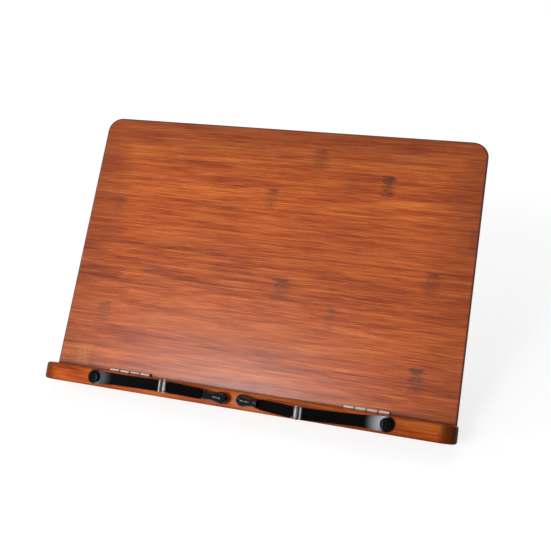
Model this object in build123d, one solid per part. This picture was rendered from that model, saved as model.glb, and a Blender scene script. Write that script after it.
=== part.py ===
from build123d import *
import os
from math import atan2, cos, degrees, hypot, radians, sin, tan

# Folding bamboo reading stand: a leaning back board, a book ledge on two small hinges with
# two sprung page clips, and behind the board a hinged strut held by a wire bail.
#
# Everything is first laid out in the board's own frame, in millimetres: X to the right, Z up
# along the board, Y straight back through it. The board's front face is the plane Y = 0 and
# the line where the ledge's top meets it is the X axis. The whole stand is then leaned back
# and set down with its bounding box's bottom centre at the origin.

# Back board
BOARD_WIDTH = 340.0
BOARD_ABOVE_LEDGE = 228.2
BOARD_BELOW_LEDGE = 13.8
BOARD_THICKNESS = 9.0
BOARD_TOP_CORNER = 13.0
BOARD_FOOT_CORNER = 3.0
BOARD_EDGE_ROUND = 1.5
LEAN = 36.1  # degrees back from upright
HEEL_BEVEL = 1.5  # height of the flat that the rear bottom edge stands on

# Book ledge
LEDGE_WIDTH = 342.5
LEDGE_DEPTH = 25.7
LEDGE_HEIGHT = 13.8
LEDGE_PLAN_CORNER = 15.2
LEDGE_EDGE_ROUND = 2.2
LEDGE_DROOP = 3.73  # degrees that the ledge's top falls towards its front
LEDGE_BACK_GAP = 0.3
LEDGE_FOLD = 92.0  # degrees from open to folded up against the board

# Small steel hinges, shared by the ledge and the strut
HINGE_LENGTH = 37.0
HINGE_LEAF = 11.0
LEAF_THICKNESS = 0.8
KNUCKLE_COUNT = 4
KNUCKLE_RADIUS = 1.6
KNUCKLE_GAP = 0.3
HINGE_PIN_RADIUS = 0.8
PIN_CLEARANCE = 0.05
LEAF_GAP = 0.3  # between the two leaves when they lie on each other
KNUCKLE_ROOM = 0.35  # round the knuckles, in the wood
NOTCH_SIDE_ROOM = 1.5  # beside the knuckles, in the wood
POCKET_ROOM = 0.4
KNUCKLE_PROUD = 0.6  # the pin's height above the edge that it is let into
LEDGE_HINGE_X = 100.5

# Countersunk wood screws
SCREW_HEAD_RADIUS = 1.9
SCREW_SHANK_RADIUS = 1.0
SCREW_LENGTH = 6.5
SCREW_ROOM = 0.05
SCREW_TIP_ROOM = 0.3  # under the tip, in the wood
SCREW_SPACING = 24.0
SCREW_DOWN_LEAF = 7.0

# Strut behind the board
STRUT_WIDTH = 90.0
STRUT_THICKNESS = 9.0
STRUT_PIVOT_HEIGHT = 150.0  # of its pin above the board's bottom edge
STRUT_OPEN = 58.0  # degrees between the board and the strut
STRUT_BACK_GAP = 0.6
STRUT_CORNER = 4.0
STRUT_EDGE_ROUND = 1.2
STRUT_HINGE_X = 23.0

# Notches across the strut's back, one of which holds the bail
NOTCH_COUNT = 5
NOTCH_PITCH = 10.0
REST_NOTCH_DOWN = 95.0  # from the strut's pin to the notch in use, the middle one
NOTCH_SINK = 1.8  # depth of the bail's centre line under the strut's back
NOTCH_ROOM = 0.3
NOTCH_SLOPE = 45.0  # degrees from square, on the side towards the pin

# Wire bail and its saddles
BAIL_RADIUS = 1.6
BAIL_SIDE_X = 52.0
BAIL_BEND = 5.0
BAIL_END_X = 67.0
BAIL_PIVOT_HEIGHT = 40.0  # above the board's bottom edge
BAIL_PIVOT_BACK = 2.0  # behind the board
BAIL_PER_STRUT = 0.81  # degrees that the bail folds for each degree of the strut
SADDLE_X = 61.5
SADDLE_WIDTH = 8.0
SADDLE_THICKNESS = 1.0
SADDLE_LENGTH = 18.0
SADDLE_SCREW_OFFSET = 5.8

# Page clips, laid out along their lower arm from the pivot screw
CLIP_PIVOT_FROM_END = 52.05  # in from the ledge's end
CLIP_PIVOT_X = LEDGE_WIDTH / 2 - CLIP_PIVOT_FROM_END
CLIP_PIVOT_DOWN = 6.1  # below the ledge's top
CLIP_SHEET = 1.2
CLIP_STANDOFF = 0.9  # of the arm from the ledge's front
CLIP_HEAD_RADIUS = 6.0
CLIP_HOLE_ROOM = 0.05
CLIP_NECK_FROM = 3.0
CLIP_NECK_HALF_WIDTH = 5.6
CLIP_NECK_TO = 20.0
CLIP_HALF_WIDTH = 4.5
CLIP_FLAT = 10.0  # from the pivot to the middle of the bend
CLIP_BEND = 60.0
CLIP_BEAD_RADIUS = 1.2
CLIP_BEAD_BACK = 3.5  # of the bead from the knee
CLIP_TOP = 16.0  # of the knee above the ledge's front
CLIP_TURN = 1.67  # degrees that the lower arm rises towards its knee
CLIP_KINK = 4.67  # degrees that the upper arm turns back from the lower
CLIP_SWING = 115.0  # degrees from lying along the ledge to leaning outwards
KNEE_ALONG = 65.9
KNEE_RADIUS = 2.0
KNEE_HALF_WIDTH = 3.25
KNEE_CAP = 0.8
KNEE_CAVITY_RADIUS = 1.55  # for the spring, inside the barrel
KNEE_PIN_RADIUS = 0.9
KNEE_HEAD_RADIUS = 1.5
KNEE_HEAD_THICKNESS = 0.5
KNEE_OPEN = 60.0  # degrees that the upper arm pulls away from the ledge
EAR_THICKNESS = 1.0
EAR_BACK = 8.9  # from the knee to where the ears leave the arm
EAR_DEPTH = 2.2
EAR_SIDE_ROOM = 0.25
SPRING_RADIUS = 1.2
SPRING_WIRE_RADIUS = 0.2
SPRING_PITCH = 0.55
SPRING_TURNS = 6

# Rubber boots on the clips' tips
BALL_FROM_MIDDLE = 8.4  # the two balls nearly meet at the ledge's middle
BALL_ALONG = CLIP_PIVOT_X - BALL_FROM_MIDDLE
BALL_RADIUS = 5.0
BALL_GAP = 0.4  # to the ledge's front
BOOT_LENGTH = 19.0
BOOT_MOUTH_RADIUS = 4.0
BOOT_WAIST_RADIUS = 3.3
BOOT_WAIST_AT = 5.0  # from the boot's mouth
BOOT_SPREAD_AT = 1.0  # past halfway from the waist to the ball
BOOT_TIP_FLAT = 0.4  # radius of the moulding mark on the ball's end
TONGUE_HALF_WIDTH = 2.2
TONGUE_SHOULDER = 0.9  # length over which the arm narrows to the boot's tongue
TONGUE_GAP = 0.3  # from the arm's shoulder to the boot's mouth
UPPER_HALF_WIDTH = 4.45
ARM_SHOULDER = 1.2  # length over which the upper arm widens past the ears
UPPER_END_HALF_WIDTH = 4.05

# Clip pivot screws and their washers
PIVOT_HEAD_RADIUS = 4.6
PIVOT_HEAD_HEIGHT = 2.2
PIVOT_HEAD_ROUND = 0.9
PIVOT_HEAD_GAP = 0.3
PIVOT_NECK_RADIUS = 2.0
PIVOT_THREAD_RADIUS = 1.6
PIVOT_THREAD_LENGTH = 12.0
PIVOT_TIP_ROOM = 0.5
RECESS_DEPTH = 1.3
RECESS_WIDTH = 1.0
RECESS_LENGTH = 4.6
WASHER_RADIUS = 5.2
WASHER_THICKNESS = 0.6

# Values worked out from those above
BOARD_HEIGHT = BOARD_ABOVE_LEDGE + BOARD_BELOW_LEDGE
PIN_OFF_FACE = LEAF_THICKNESS * 2 + LEAF_GAP
PIVOT_Z = STRUT_PIVOT_HEIGHT - BOARD_BELOW_LEDGE
STRUT_PIN = (BOARD_THICKNESS + PIN_OFF_FACE, PIVOT_Z)
LEDGE_PIN = (-PIN_OFF_FACE, KNUCKLE_PROUD)
BAIL_PIN = (BOARD_THICKNESS + BAIL_PIVOT_BACK, BAIL_PIVOT_HEIGHT - BOARD_BELOW_LEDGE)
CLIP_LINE = CLIP_TOP - CLIP_SHEET / 2  # the sheet's middle at the knee
CLIP_FLAT_LINE = CLIP_STANDOFF + CLIP_SHEET / 2
KNEE_OUT = CLIP_TOP - KNEE_RADIUS
BALL_OUT = BALL_RADIUS + BALL_GAP
CLIP_BEAD_ALONG = KNEE_ALONG - CLIP_BEAD_BACK
EAR_START = KNEE_ALONG - EAR_BACK
SIDES = {"left": -1, "right": 1}
BIG = 600.0


def turned(y, z, about, angle):
    """A point of the YZ plane turned about another one by an angle in degrees about +X."""
    c, s = cos(radians(angle)), sin(radians(angle))
    dy, dz = y - about[0], z - about[1]
    return about[0] + dy * c - dz * s, about[1] + dy * s + dz * c


def turn_about(pin, angle):
    """The placement that turns a piece about a pin along X."""
    return Pos(0, pin[0], pin[1]) * Rot(X=angle) * Pos(0, -pin[0], -pin[1])


def rod(radius, length, at=(0, 0, 0)):
    """A cylinder along X, centred on a point."""
    return Pos(*at) * Rot(Y=90) * Cylinder(radius, length)


def block(x_range, y_range, z_range):
    """A box between two limits on each axis."""
    size = [high - low for low, high in (x_range, y_range, z_range)]
    middle = [(high + low) / 2 for low, high in (x_range, y_range, z_range)]
    return Pos(*middle) * Box(*size)


def notch_centre(down):
    """Where the bail's centre line lies in a notch, with the strut folded: (Y, Z)."""
    back = BOARD_THICKNESS + STRUT_BACK_GAP + STRUT_THICKNESS
    return back - NOTCH_SINK, STRUT_PIN[1] - down


BAIL_REST = turned(*notch_centre(REST_NOTCH_DOWN), STRUT_PIN, STRUT_OPEN)
BAIL_LENGTH = hypot(BAIL_REST[0] - BAIL_PIN[0], BAIL_REST[1] - BAIL_PIN[1])
BAIL_OPEN = degrees(atan2(BAIL_REST[0] - BAIL_PIN[0], BAIL_REST[1] - BAIL_PIN[1]))

# Height of the table in the leaned frame, just above the board's sharp rear bottom corner
HEEL_HEIGHT = -BOARD_THICKNESS * sin(radians(LEAN)) - BOARD_BELOW_LEDGE * cos(radians(LEAN))
TABLE_HEIGHT = HEEL_HEIGHT + HEEL_BEVEL
LEANED = Rot(X=-LEAN)
UNDER_TABLE = Rot(X=LEAN) * block((-BIG, BIG), (-BIG, BIG), (TABLE_HEIGHT - BIG, TABLE_HEIGHT))


# Screws and hinges


def countersunk_screw(head_depth, room=0.0, length=SCREW_LENGTH):
    """A wood screw whose head is flush with Z = 0 and whose shank runs down -Z."""
    head = Cone(
        SCREW_SHANK_RADIUS + room,
        SCREW_HEAD_RADIUS + room,
        head_depth,
        align=(Align.CENTER, Align.CENTER, Align.MAX),
    )
    shank = Cylinder(
        SCREW_SHANK_RADIUS + room, length, align=(Align.CENTER, Align.CENTER, Align.MAX)
    )
    return head + shank


def screw_places(facing):
    """Where a leaf's screws go, relative to the hinge's pin. The heads face along Y: -1 or 1."""
    depth = PIN_OFF_FACE - LEAF_THICKNESS if facing < 0 else LEAF_THICKNESS
    turn = Rot(X=90) if facing < 0 else Rot(X=-90)
    return [
        Pos(side * SCREW_SPACING / 2, depth, -SCREW_DOWN_LEAF) * turn for side in (-1, 1)
    ]


def hinge_leaf(fixed):
    """One leaf, with its pin along X through the origin and the wood that carries the fixed
    leaf on the +Y side. Both leaves hang down -Z, the moving one in front."""
    low = PIN_OFF_FACE - LEAF_THICKNESS if fixed else 0.0
    plate_top = -(KNUCKLE_RADIUS + KNUCKLE_GAP)
    half = HINGE_LENGTH / 2
    leaf = block((-half, half), (low, low + LEAF_THICKNESS), (-HINGE_LEAF, plate_top))
    step = HINGE_LENGTH / KNUCKLE_COUNT
    for i in range(0 if fixed else 1, KNUCKLE_COUNT, 2):
        start = -half + i * step + KNUCKLE_GAP / 2
        end = start + step - KNUCKLE_GAP
        leaf += rod(KNUCKLE_RADIUS, end - start, ((start + end) / 2, 0, 0))
        leaf += block((start, end), (low, low + LEAF_THICKNESS), (plate_top - 1, 0))
    leaf -= rod(HINGE_PIN_RADIUS + PIN_CLEARANCE, HINGE_LENGTH + 1)
    for place in screw_places(-1 if fixed else 1):
        leaf -= place * countersunk_screw(LEAF_THICKNESS, SCREW_ROOM)
    return leaf


def hinge_screws(fixed):
    """The two screws of one leaf, relative to the hinge's pin."""
    places = screw_places(-1 if fixed else 1)
    return [place * countersunk_screw(LEAF_THICKNESS) for place in places]


def hinge_holes(fixed):
    """The two pilot holes under one leaf, relative to the hinge's pin."""
    places = screw_places(-1 if fixed else 1)
    deep = SCREW_LENGTH + SCREW_TIP_ROOM
    return [place * countersunk_screw(LEAF_THICKNESS, SCREW_ROOM, deep) for place in places]


def hinge_seat(face_gap):
    """What is cut from the moving wood for both leaves and the knuckles, relative to the pin.
    The wood's face lies at the given gap from the fixed face."""
    half = HINGE_LENGTH / 2
    pocket = block(
        (-half - POCKET_ROOM, half + POCKET_ROOM),
        (0, PIN_OFF_FACE - face_gap + 1),
        (-HINGE_LEAF - POCKET_ROOM, KNUCKLE_RADIUS),
    )
    knuckles = rod(KNUCKLE_RADIUS + KNUCKLE_ROOM, HINGE_LENGTH + 2 * NOTCH_SIDE_ROOM)
    return pocket + knuckles


def ledge_hinge_place(side):
    """Where a ledge hinge's pin lies."""
    return Pos(SIDES[side] * LEDGE_HINGE_X, *LEDGE_PIN)


def strut_hinge_place(side):
    """Where a strut hinge's pin lies. It is turned round, because its wood is in front."""
    return Pos(SIDES[side] * STRUT_HINGE_X, *STRUT_PIN) * Rot(Z=180)


# Board, ledge and strut


def back_board():
    """The leaning panel, with its rounded top corners and the flat that it stands on."""
    face = Rectangle(BOARD_WIDTH, BOARD_HEIGHT)
    face = fillet(face.vertices().group_by(Axis.Y)[-1], BOARD_TOP_CORNER)
    face = fillet(face.vertices().group_by(Axis.Y)[0], BOARD_FOOT_CORNER)
    middle = BOARD_HEIGHT / 2 - BOARD_BELOW_LEDGE
    panel = extrude(Plane.XZ * face, -BOARD_THICKNESS)
    front = panel.edges().filter_by_position(Axis.Y, -0.01, 0.01)
    back = panel.edges().filter_by_position(
        Axis.Y, BOARD_THICKNESS - 0.01, BOARD_THICKNESS + 0.01
    )
    panel = Pos(0, 0, middle) * fillet(front + back, BOARD_EDGE_ROUND)
    panel -= UNDER_TABLE
    for side in SIDES:
        for hole in hinge_holes(True):
            panel -= ledge_hinge_place(side) * hole
            panel -= strut_hinge_place(side) * hole
        for place in saddle_screw_places(side):
            deep = SCREW_LENGTH + SCREW_TIP_ROOM
            panel -= place * countersunk_screw(SADDLE_THICKNESS, SCREW_ROOM, deep)
    return panel


def book_ledge():
    """The ledge, let in at its rear top edge for the two hinges."""
    back_room = 4.0
    plan = Pos(0, -(LEDGE_DEPTH - back_room) / 2) * Rectangle(
        LEDGE_WIDTH, LEDGE_DEPTH + back_room
    )
    plan = fillet(plan.vertices().group_by(Axis.Y)[0], LEDGE_PLAN_CORNER)
    ledge = extrude(plan, -LEDGE_HEIGHT)
    rim = ledge.edges().filter_by_position(Axis.Z, -0.01, 0.01)
    rim += ledge.edges().filter_by_position(
        Axis.Z, -LEDGE_HEIGHT - 0.01, -LEDGE_HEIGHT + 0.01
    )
    rim = [edge for edge in rim if edge.center().Y < back_room - 0.01]
    ledge = Rot(X=LEDGE_DROOP) * fillet(rim, LEDGE_EDGE_ROUND)
    ledge -= block((-BIG, BIG), (-LEDGE_BACK_GAP, BIG), (-BIG, BIG))
    for side in SIDES:
        ledge -= ledge_hinge_place(side) * hinge_seat(LEDGE_BACK_GAP)
        for hole in hinge_holes(False):
            ledge -= ledge_hinge_place(side) * hole
        ledge -= clip_place(side) * pivot_pilot_hole()
    return ledge


def strut():
    """The prop, laid out folded against the board and then opened."""
    top = STRUT_PIN[1] - KNUCKLE_PROUD
    inner = BOARD_THICKNESS + STRUT_BACK_GAP
    length = STRUT_PIVOT_HEIGHT + BOARD_THICKNESS
    face = Rectangle(STRUT_WIDTH, length)
    face = fillet(face.vertices().group_by(Axis.Y)[-1], STRUT_CORNER)
    plate = extrude(Plane.XZ * face, -STRUT_THICKNESS)
    plate = fillet(
        plate.edges().filter_by_position(Axis.Y, -0.01, 0.01)
        + plate.edges().filter_by_position(
            Axis.Y, STRUT_THICKNESS - 0.01, STRUT_THICKNESS + 0.01
        ),
        STRUT_EDGE_ROUND,
    )
    plate = Pos(0, inner, top - length / 2) * plate
    for i in range(NOTCH_COUNT):
        down = REST_NOTCH_DOWN + (i - NOTCH_COUNT // 2) * NOTCH_PITCH
        plate -= notch_cut(down)
    for side in SIDES:
        plate -= strut_hinge_place(side) * hinge_seat(STRUT_BACK_GAP)
        for hole in hinge_holes(False):
            plate -= strut_hinge_place(side) * hole
    plate = turn_about(STRUT_PIN, STRUT_OPEN) * plate
    return plate - UNDER_TABLE


def notch_cut(down):
    """One saw-tooth notch: square on its lower side and sloping on the side of the pin."""
    y, z = notch_centre(down)
    radius = BAIL_RADIUS + NOTCH_ROOM
    slope = radians(NOTCH_SLOPE)
    out = NOTCH_SINK + 1.0
    touch = (y - radius * sin(slope), z + radius * cos(slope))
    rise = y + out - touch[0]
    profile = Polyline(
        (y, z),
        (y, z - radius),
        (y + out, z - radius),
        (y + out, touch[1] + rise * tan(slope)),
        touch,
        close=True,
    )
    wedge = extrude(Plane.YZ * make_face(profile), STRUT_WIDTH, both=True)
    return wedge + rod(radius, 2 * STRUT_WIDTH, (0, y, z))


# Bail and saddles


def wire_bail():
    """The wire bail, drawn standing along the board and then swung back into its notch."""
    y, z = BAIL_PIN
    corners = [(-BAIL_END_X, z), (-BAIL_SIDE_X, z), (-BAIL_SIDE_X, z + BAIL_LENGTH)]
    corners += [(-cx, cz) for cx, cz in reversed(corners)]
    path = FilletPolyline([Vector(cx, y, cz) for cx, cz in corners], radius=BAIL_BEND)
    start = Plane(origin=path @ 0, z_dir=path % 0)
    wire = sweep(start * Circle(BAIL_RADIUS), path)
    return turn_about(BAIL_PIN, -BAIL_OPEN) * wire


def saddle(side):
    """A strip bent over the bail's end and screwed to the board's back."""
    inner = BAIL_RADIUS + PIN_CLEARANCE
    outer = inner + SADDLE_THICKNESS
    half = SADDLE_LENGTH / 2
    w = SADDLE_WIDTH / 2
    strip = rod(outer, SADDLE_WIDTH)
    strip += block((-w, w), (-BAIL_PIVOT_BACK, 0), (-outer, outer))
    feet = (-BAIL_PIVOT_BACK, -BAIL_PIVOT_BACK + SADDLE_THICKNESS)
    strip += block((-w, w), feet, (-half, half))
    strip -= rod(inner, SADDLE_WIDTH + 1)
    strip -= block((-w - 1, w + 1), (-BAIL_PIVOT_BACK - 1, 0), (-inner, inner))
    strip -= block((-w - 1, w + 1), (-BAIL_PIVOT_BACK - outer, -BAIL_PIVOT_BACK), (-half, half))
    strip = Pos(SIDES[side] * SADDLE_X, *BAIL_PIN) * strip
    for place in saddle_screw_places(side):
        strip -= place * countersunk_screw(SADDLE_THICKNESS, SCREW_ROOM)
    return strip


def saddle_screw_places(side):
    """Where a saddle's two screws go, heads facing back."""
    y = BOARD_THICKNESS + SADDLE_THICKNESS
    return [
        Pos(SIDES[side] * SADDLE_X, y, BAIL_PIN[1] + way * SADDLE_SCREW_OFFSET) * Rot(X=-90)
        for way in (-1, 1)
    ]


# Page clips. In a clip's own frame X runs along it, -Y out of the ledge's front, Z up.


def clip_place(side):
    """Where a clip's pivot lies. The right clip is the left one turned half round."""
    turn = 0 if side == "left" else 180
    at = Pos(SIDES[side] * CLIP_PIVOT_X, -LEDGE_DEPTH, -CLIP_PIVOT_DOWN)
    return Rot(X=LEDGE_DROOP) * at * Rot(Y=turn)


def sheet_strip(line, half_width):
    """A strip of sheet metal that follows a line of (along, out) points."""
    if len(line) > 2:
        path = FilletPolyline([Vector(a, -c) for a, c in line], radius=CLIP_BEND)
    else:
        path = Line(*[Vector(a, -c) for a, c in line])
    return extrude(trace(path, CLIP_SHEET), half_width, both=True)


def plan_prism(points):
    """A prism whose plan is symmetric about X: (along, half width) points on one side."""
    outline = [(a, w) for a, w in points] + [(a, -w) for a, w in reversed(points)]
    face = Plane.XZ * make_face(Polyline(*outline, close=True))
    return extrude(face, 4 * CLIP_TOP, both=True)


def knee_rod(radius, half_width):
    """A cylinder round the knee's pin."""
    return Pos(KNEE_ALONG, -KNEE_OUT, 0) * Cylinder(radius, 2 * half_width)


def lower_arm():
    """The arm from the pivot to the knee: round head, tapering neck, bead and two ears."""
    line = [
        (-CLIP_HEAD_RADIUS, CLIP_FLAT_LINE),
        (CLIP_FLAT, CLIP_FLAT_LINE),
        (CLIP_BEAD_ALONG, CLIP_LINE),
    ]
    strip = sheet_strip(line, CLIP_HEAD_RADIUS)
    plan = plan_prism(
        [
            (CLIP_NECK_FROM, CLIP_NECK_HALF_WIDTH),
            (CLIP_NECK_TO, CLIP_HALF_WIDTH),
            (KNEE_ALONG, CLIP_HALF_WIDTH),
        ]
    )
    neck = plan_prism([(0, CLIP_NECK_HALF_WIDTH), (CLIP_NECK_FROM + 1, CLIP_NECK_HALF_WIDTH)])
    head = Rot(X=90) * Cylinder(CLIP_HEAD_RADIUS, 4 * CLIP_TOP)
    arm = strip & (plan + neck + head)
    bead = Cylinder(CLIP_BEAD_RADIUS, 2 * CLIP_HALF_WIDTH)
    arm += Pos(CLIP_BEAD_ALONG, -(CLIP_TOP - CLIP_BEAD_RADIUS), 0) * bead
    slope = (CLIP_LINE - CLIP_FLAT_LINE) / (CLIP_BEAD_ALONG - CLIP_FLAT)
    under = CLIP_LINE - (CLIP_BEAD_ALONG - EAR_START) * slope
    ear_outline = Polyline(
        (EAR_START, -under),
        (CLIP_BEAD_ALONG, -CLIP_LINE),
        (CLIP_BEAD_ALONG, -KNEE_OUT),
        (KNEE_ALONG, -(KNEE_OUT + EAR_DEPTH)),
        (KNEE_ALONG, -(KNEE_OUT - EAR_DEPTH)),
        close=True,
    )
    ear_face = make_face(ear_outline) + Pos(KNEE_ALONG, -KNEE_OUT) * Circle(EAR_DEPTH)
    ear = extrude(ear_face, EAR_THICKNESS)
    arm += Pos(0, 0, CLIP_HALF_WIDTH - EAR_THICKNESS) * ear
    arm += Pos(0, 0, -CLIP_HALF_WIDTH) * ear
    arm -= Rot(X=90) * Cylinder(PIVOT_NECK_RADIUS + CLIP_HOLE_ROOM, 4 * CLIP_TOP)
    arm -= knee_rod(KNEE_PIN_RADIUS + PIN_CLEARANCE, CLIP_HALF_WIDTH + 1)
    return Rot(Y=-CLIP_TURN) * arm


def knee_pin():
    """The knee's rivet, with a head outside each ear."""
    reach = CLIP_HALF_WIDTH + PIN_CLEARANCE
    pin = knee_rod(KNEE_PIN_RADIUS, reach)
    for way in (-1, 1):
        middle = way * (reach + KNEE_HEAD_THICKNESS / 2)
        pin += Pos(0, 0, middle) * knee_rod(KNEE_HEAD_RADIUS, KNEE_HEAD_THICKNESS / 2)
    return Rot(Y=-CLIP_TURN) * pin


def knee_spring():
    """The coil spring inside the knee's barrel."""
    height = SPRING_PITCH * SPRING_TURNS
    path = Helix(SPRING_PITCH, height, SPRING_RADIUS)
    start = Plane(origin=path @ 0, z_dir=path % 0)
    coil = sweep(start * Circle(SPRING_WIRE_RADIUS), path, is_frenet=True)
    return Rot(Y=-CLIP_TURN) * Pos(KNEE_ALONG, -KNEE_OUT, -height / 2) * coil


def upper_arm_slope():
    """How far the upper arm leans out of the ledge from its knee to its ball, in degrees."""
    return degrees(atan2(BALL_OUT - CLIP_LINE, BALL_ALONG - KNEE_ALONG))


def kinked(piece):
    """The upper arm's turn in plan about the knee."""
    return Pos(KNEE_ALONG, 0, 0) * Rot(Y=CLIP_KINK) * Pos(-KNEE_ALONG, 0, 0) * piece


def upper_arm():
    """The arm from the knee to the boot, with its barrel round the knee's pin."""
    strip = sheet_strip([(KNEE_ALONG, CLIP_LINE), (BALL_ALONG, BALL_OUT)], CLIP_HEAD_RADIUS)
    ear_end = KNEE_ALONG + EAR_DEPTH + EAR_SIDE_ROOM
    boot_start = BALL_ALONG + BALL_RADIUS - BOOT_LENGTH
    plan = plan_prism(
        [
            (KNEE_ALONG - KNEE_RADIUS, KNEE_HALF_WIDTH),
            (ear_end, KNEE_HALF_WIDTH),
            (ear_end + ARM_SHOULDER, UPPER_HALF_WIDTH),
            (boot_start - TONGUE_GAP - TONGUE_SHOULDER, UPPER_END_HALF_WIDTH),
            (boot_start - TONGUE_GAP, TONGUE_HALF_WIDTH),
            (BALL_ALONG, TONGUE_HALF_WIDTH),
        ]
    )
    kept = block(
        (-BIG, ear_end), (-BIG, BIG), (-KNEE_HALF_WIDTH, KNEE_HALF_WIDTH)
    ) + block((ear_end, BIG), (-BIG, BIG), (-BIG, BIG))
    arm = kinked(strip & plan) & kept
    arm += knee_rod(KNEE_RADIUS, KNEE_HALF_WIDTH)
    arm -= knee_rod(KNEE_PIN_RADIUS + PIN_CLEARANCE, KNEE_HALF_WIDTH + 1)
    arm -= knee_rod(KNEE_CAVITY_RADIUS, KNEE_HALF_WIDTH - KNEE_CAP)
    return Rot(Y=-CLIP_TURN) * arm


def boot():
    """The waisted rubber boot with its ball, slotted for the arm's tongue."""
    ball_at = BOOT_LENGTH - BALL_RADIUS
    spread_at = (BOOT_WAIST_AT + ball_at) / 2 + BOOT_SPREAD_AT
    outline = Spline(
        (0, BOOT_MOUTH_RADIUS),
        (BOOT_WAIST_AT, BOOT_WAIST_RADIUS),
        (spread_at, (BOOT_WAIST_RADIUS + BALL_RADIUS) / 2),
        (ball_at, BALL_RADIUS),
        tangents=[(1, -0.3), (1, 0)],
    )
    tip_at = ball_at + (BALL_RADIUS**2 - BOOT_TIP_FLAT**2) ** 0.5
    tip = RadiusArc(outline @ 1, (tip_at, BOOT_TIP_FLAT), BALL_RADIUS)
    close = Polyline((tip_at, BOOT_TIP_FLAT), (tip_at, 0), (0, 0), (0, BOOT_MOUTH_RADIUS))
    solid = revolve(make_face(outline + tip + close), Axis.X)
    solid -= sheet_strip([(-1, 0), (ball_at, 0)], TONGUE_HALF_WIDTH)
    place = Pos(BALL_ALONG, -BALL_OUT, 0) * Rot(Z=-upper_arm_slope()) * Pos(-ball_at, 0, 0)
    return Rot(Y=-CLIP_TURN) * kinked(place * solid)


def pivot_pilot_hole():
    """The hole for a clip's screw in the ledge's front."""
    depth = PIVOT_THREAD_LENGTH + PIVOT_TIP_ROOM
    return Pos(0, depth / 2, 0) * Rot(X=90) * Cylinder(PIVOT_THREAD_RADIUS + SCREW_ROOM, depth)


def pivot_screw():
    """The round-headed screw that a clip turns on, with a cross recess."""
    under_head = CLIP_STANDOFF + CLIP_SHEET + PIVOT_HEAD_GAP
    head = Cylinder(
        PIVOT_HEAD_RADIUS, PIVOT_HEAD_HEIGHT, align=(Align.CENTER, Align.CENTER, Align.MIN)
    )
    head = fillet(head.edges().group_by(Axis.Z)[-1], PIVOT_HEAD_ROUND)
    top = PIVOT_HEAD_HEIGHT
    for turn in (0, 90):
        arm = block(
            (-RECESS_LENGTH / 2, RECESS_LENGTH / 2),
            (-RECESS_WIDTH / 2, RECESS_WIDTH / 2),
            (top - RECESS_DEPTH, top + 1),
        )
        head -= Rot(Z=turn + 45) * arm
    neck = Cylinder(
        PIVOT_NECK_RADIUS, under_head, align=(Align.CENTER, Align.CENTER, Align.MAX)
    )
    thread = Cylinder(
        PIVOT_THREAD_RADIUS,
        under_head + PIVOT_THREAD_LENGTH,
        align=(Align.CENTER, Align.CENTER, Align.MAX),
    )
    return Rot(X=90) * Pos(0, 0, under_head) * (head + neck + thread)


def pivot_washer():
    """The thin washer between a clip and the ledge."""
    ring = Cylinder(WASHER_RADIUS, WASHER_THICKNESS, align=(Align.CENTER, Align.CENTER, Align.MIN))
    ring -= Cylinder(PIVOT_NECK_RADIUS + SCREW_ROOM, 4 * WASHER_THICKNESS)
    return Rot(X=90) * ring


# All the pieces, in the board's frame

pieces = {
    "back_board": [back_board()],
    "book_ledge": [book_ledge()],
    "strut": [strut()],
    "wire_bail": [wire_bail()],
    "ledge_hinge_board_screws": [],
    "ledge_hinge_ledge_screws": [],
    "strut_hinge_board_screws": [],
    "strut_hinge_strut_screws": [],
    "saddle_screws": [],
}
opened = turn_about(STRUT_PIN, STRUT_OPEN)
hinge_pin = rod(HINGE_PIN_RADIUS, HINGE_LENGTH)
for side in SIDES:
    place = ledge_hinge_place(side)
    pieces[f"ledge_hinge_{side}_board_leaf"] = [place * hinge_leaf(True)]
    pieces[f"ledge_hinge_{side}_ledge_leaf"] = [place * hinge_leaf(False)]
    pieces[f"ledge_hinge_{side}_pin"] = [place * hinge_pin]
    pieces["ledge_hinge_board_screws"] += [place * s for s in hinge_screws(True)]
    pieces["ledge_hinge_ledge_screws"] += [place * s for s in hinge_screws(False)]
    place = strut_hinge_place(side)
    pieces[f"strut_hinge_{side}_board_leaf"] = [place * hinge_leaf(True)]
    pieces[f"strut_hinge_{side}_strut_leaf"] = [opened * place * hinge_leaf(False)]
    pieces[f"strut_hinge_{side}_pin"] = [place * hinge_pin]
    pieces["strut_hinge_board_screws"] += [place * s for s in hinge_screws(True)]
    pieces["strut_hinge_strut_screws"] += [opened * place * s for s in hinge_screws(False)]
    pieces[f"bail_saddle_{side}"] = [saddle(side)]
    for place in saddle_screw_places(side):
        pieces["saddle_screws"].append(place * countersunk_screw(SADDLE_THICKNESS))
    place = clip_place(side)
    pieces[f"clip_{side}_lower_arm"] = [place * lower_arm()]
    pieces[f"clip_{side}_knee_pin"] = [place * knee_pin()]
    pieces[f"clip_{side}_knee_spring"] = [place * knee_spring()]
    pieces[f"clip_{side}_upper_arm"] = [place * upper_arm()]
    pieces[f"clip_{side}_boot"] = [place * boot()]
    pieces[f"clip_{side}_pivot_screw"] = [place * pivot_screw()]
    pieces[f"clip_{side}_washer"] = [place * pivot_washer()]

# Lean the stand back and set it down

leaned = {name: [LEANED * shape for shape in shapes] for name, shapes in pieces.items()}
box = Compound(children=[s for shapes in leaned.values() for s in shapes]).bounding_box()
SETDOWN = Pos(-(box.min.X + box.max.X) / 2, -(box.min.Y + box.max.Y) / 2, -box.min.Z)

os.makedirs("parts", exist_ok=True)
for name, shapes in leaned.items():
    solids = [solid for shape in shapes for solid in (SETDOWN * shape).solids()]
    export_step(solids[0] if len(solids) == 1 else Compound(children=solids), f"parts/{name}.step")


# Joint axes and the openings, for whoever poses the stand


def report(label, x, y, z):
    """Prints where a point of the board's frame ends up."""
    at = (SETDOWN * LEANED * Pos(x, y, z)).position
    print(f"{label}: {at.X:.3f} {at.Y:.3f} {at.Z:.3f}")


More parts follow.
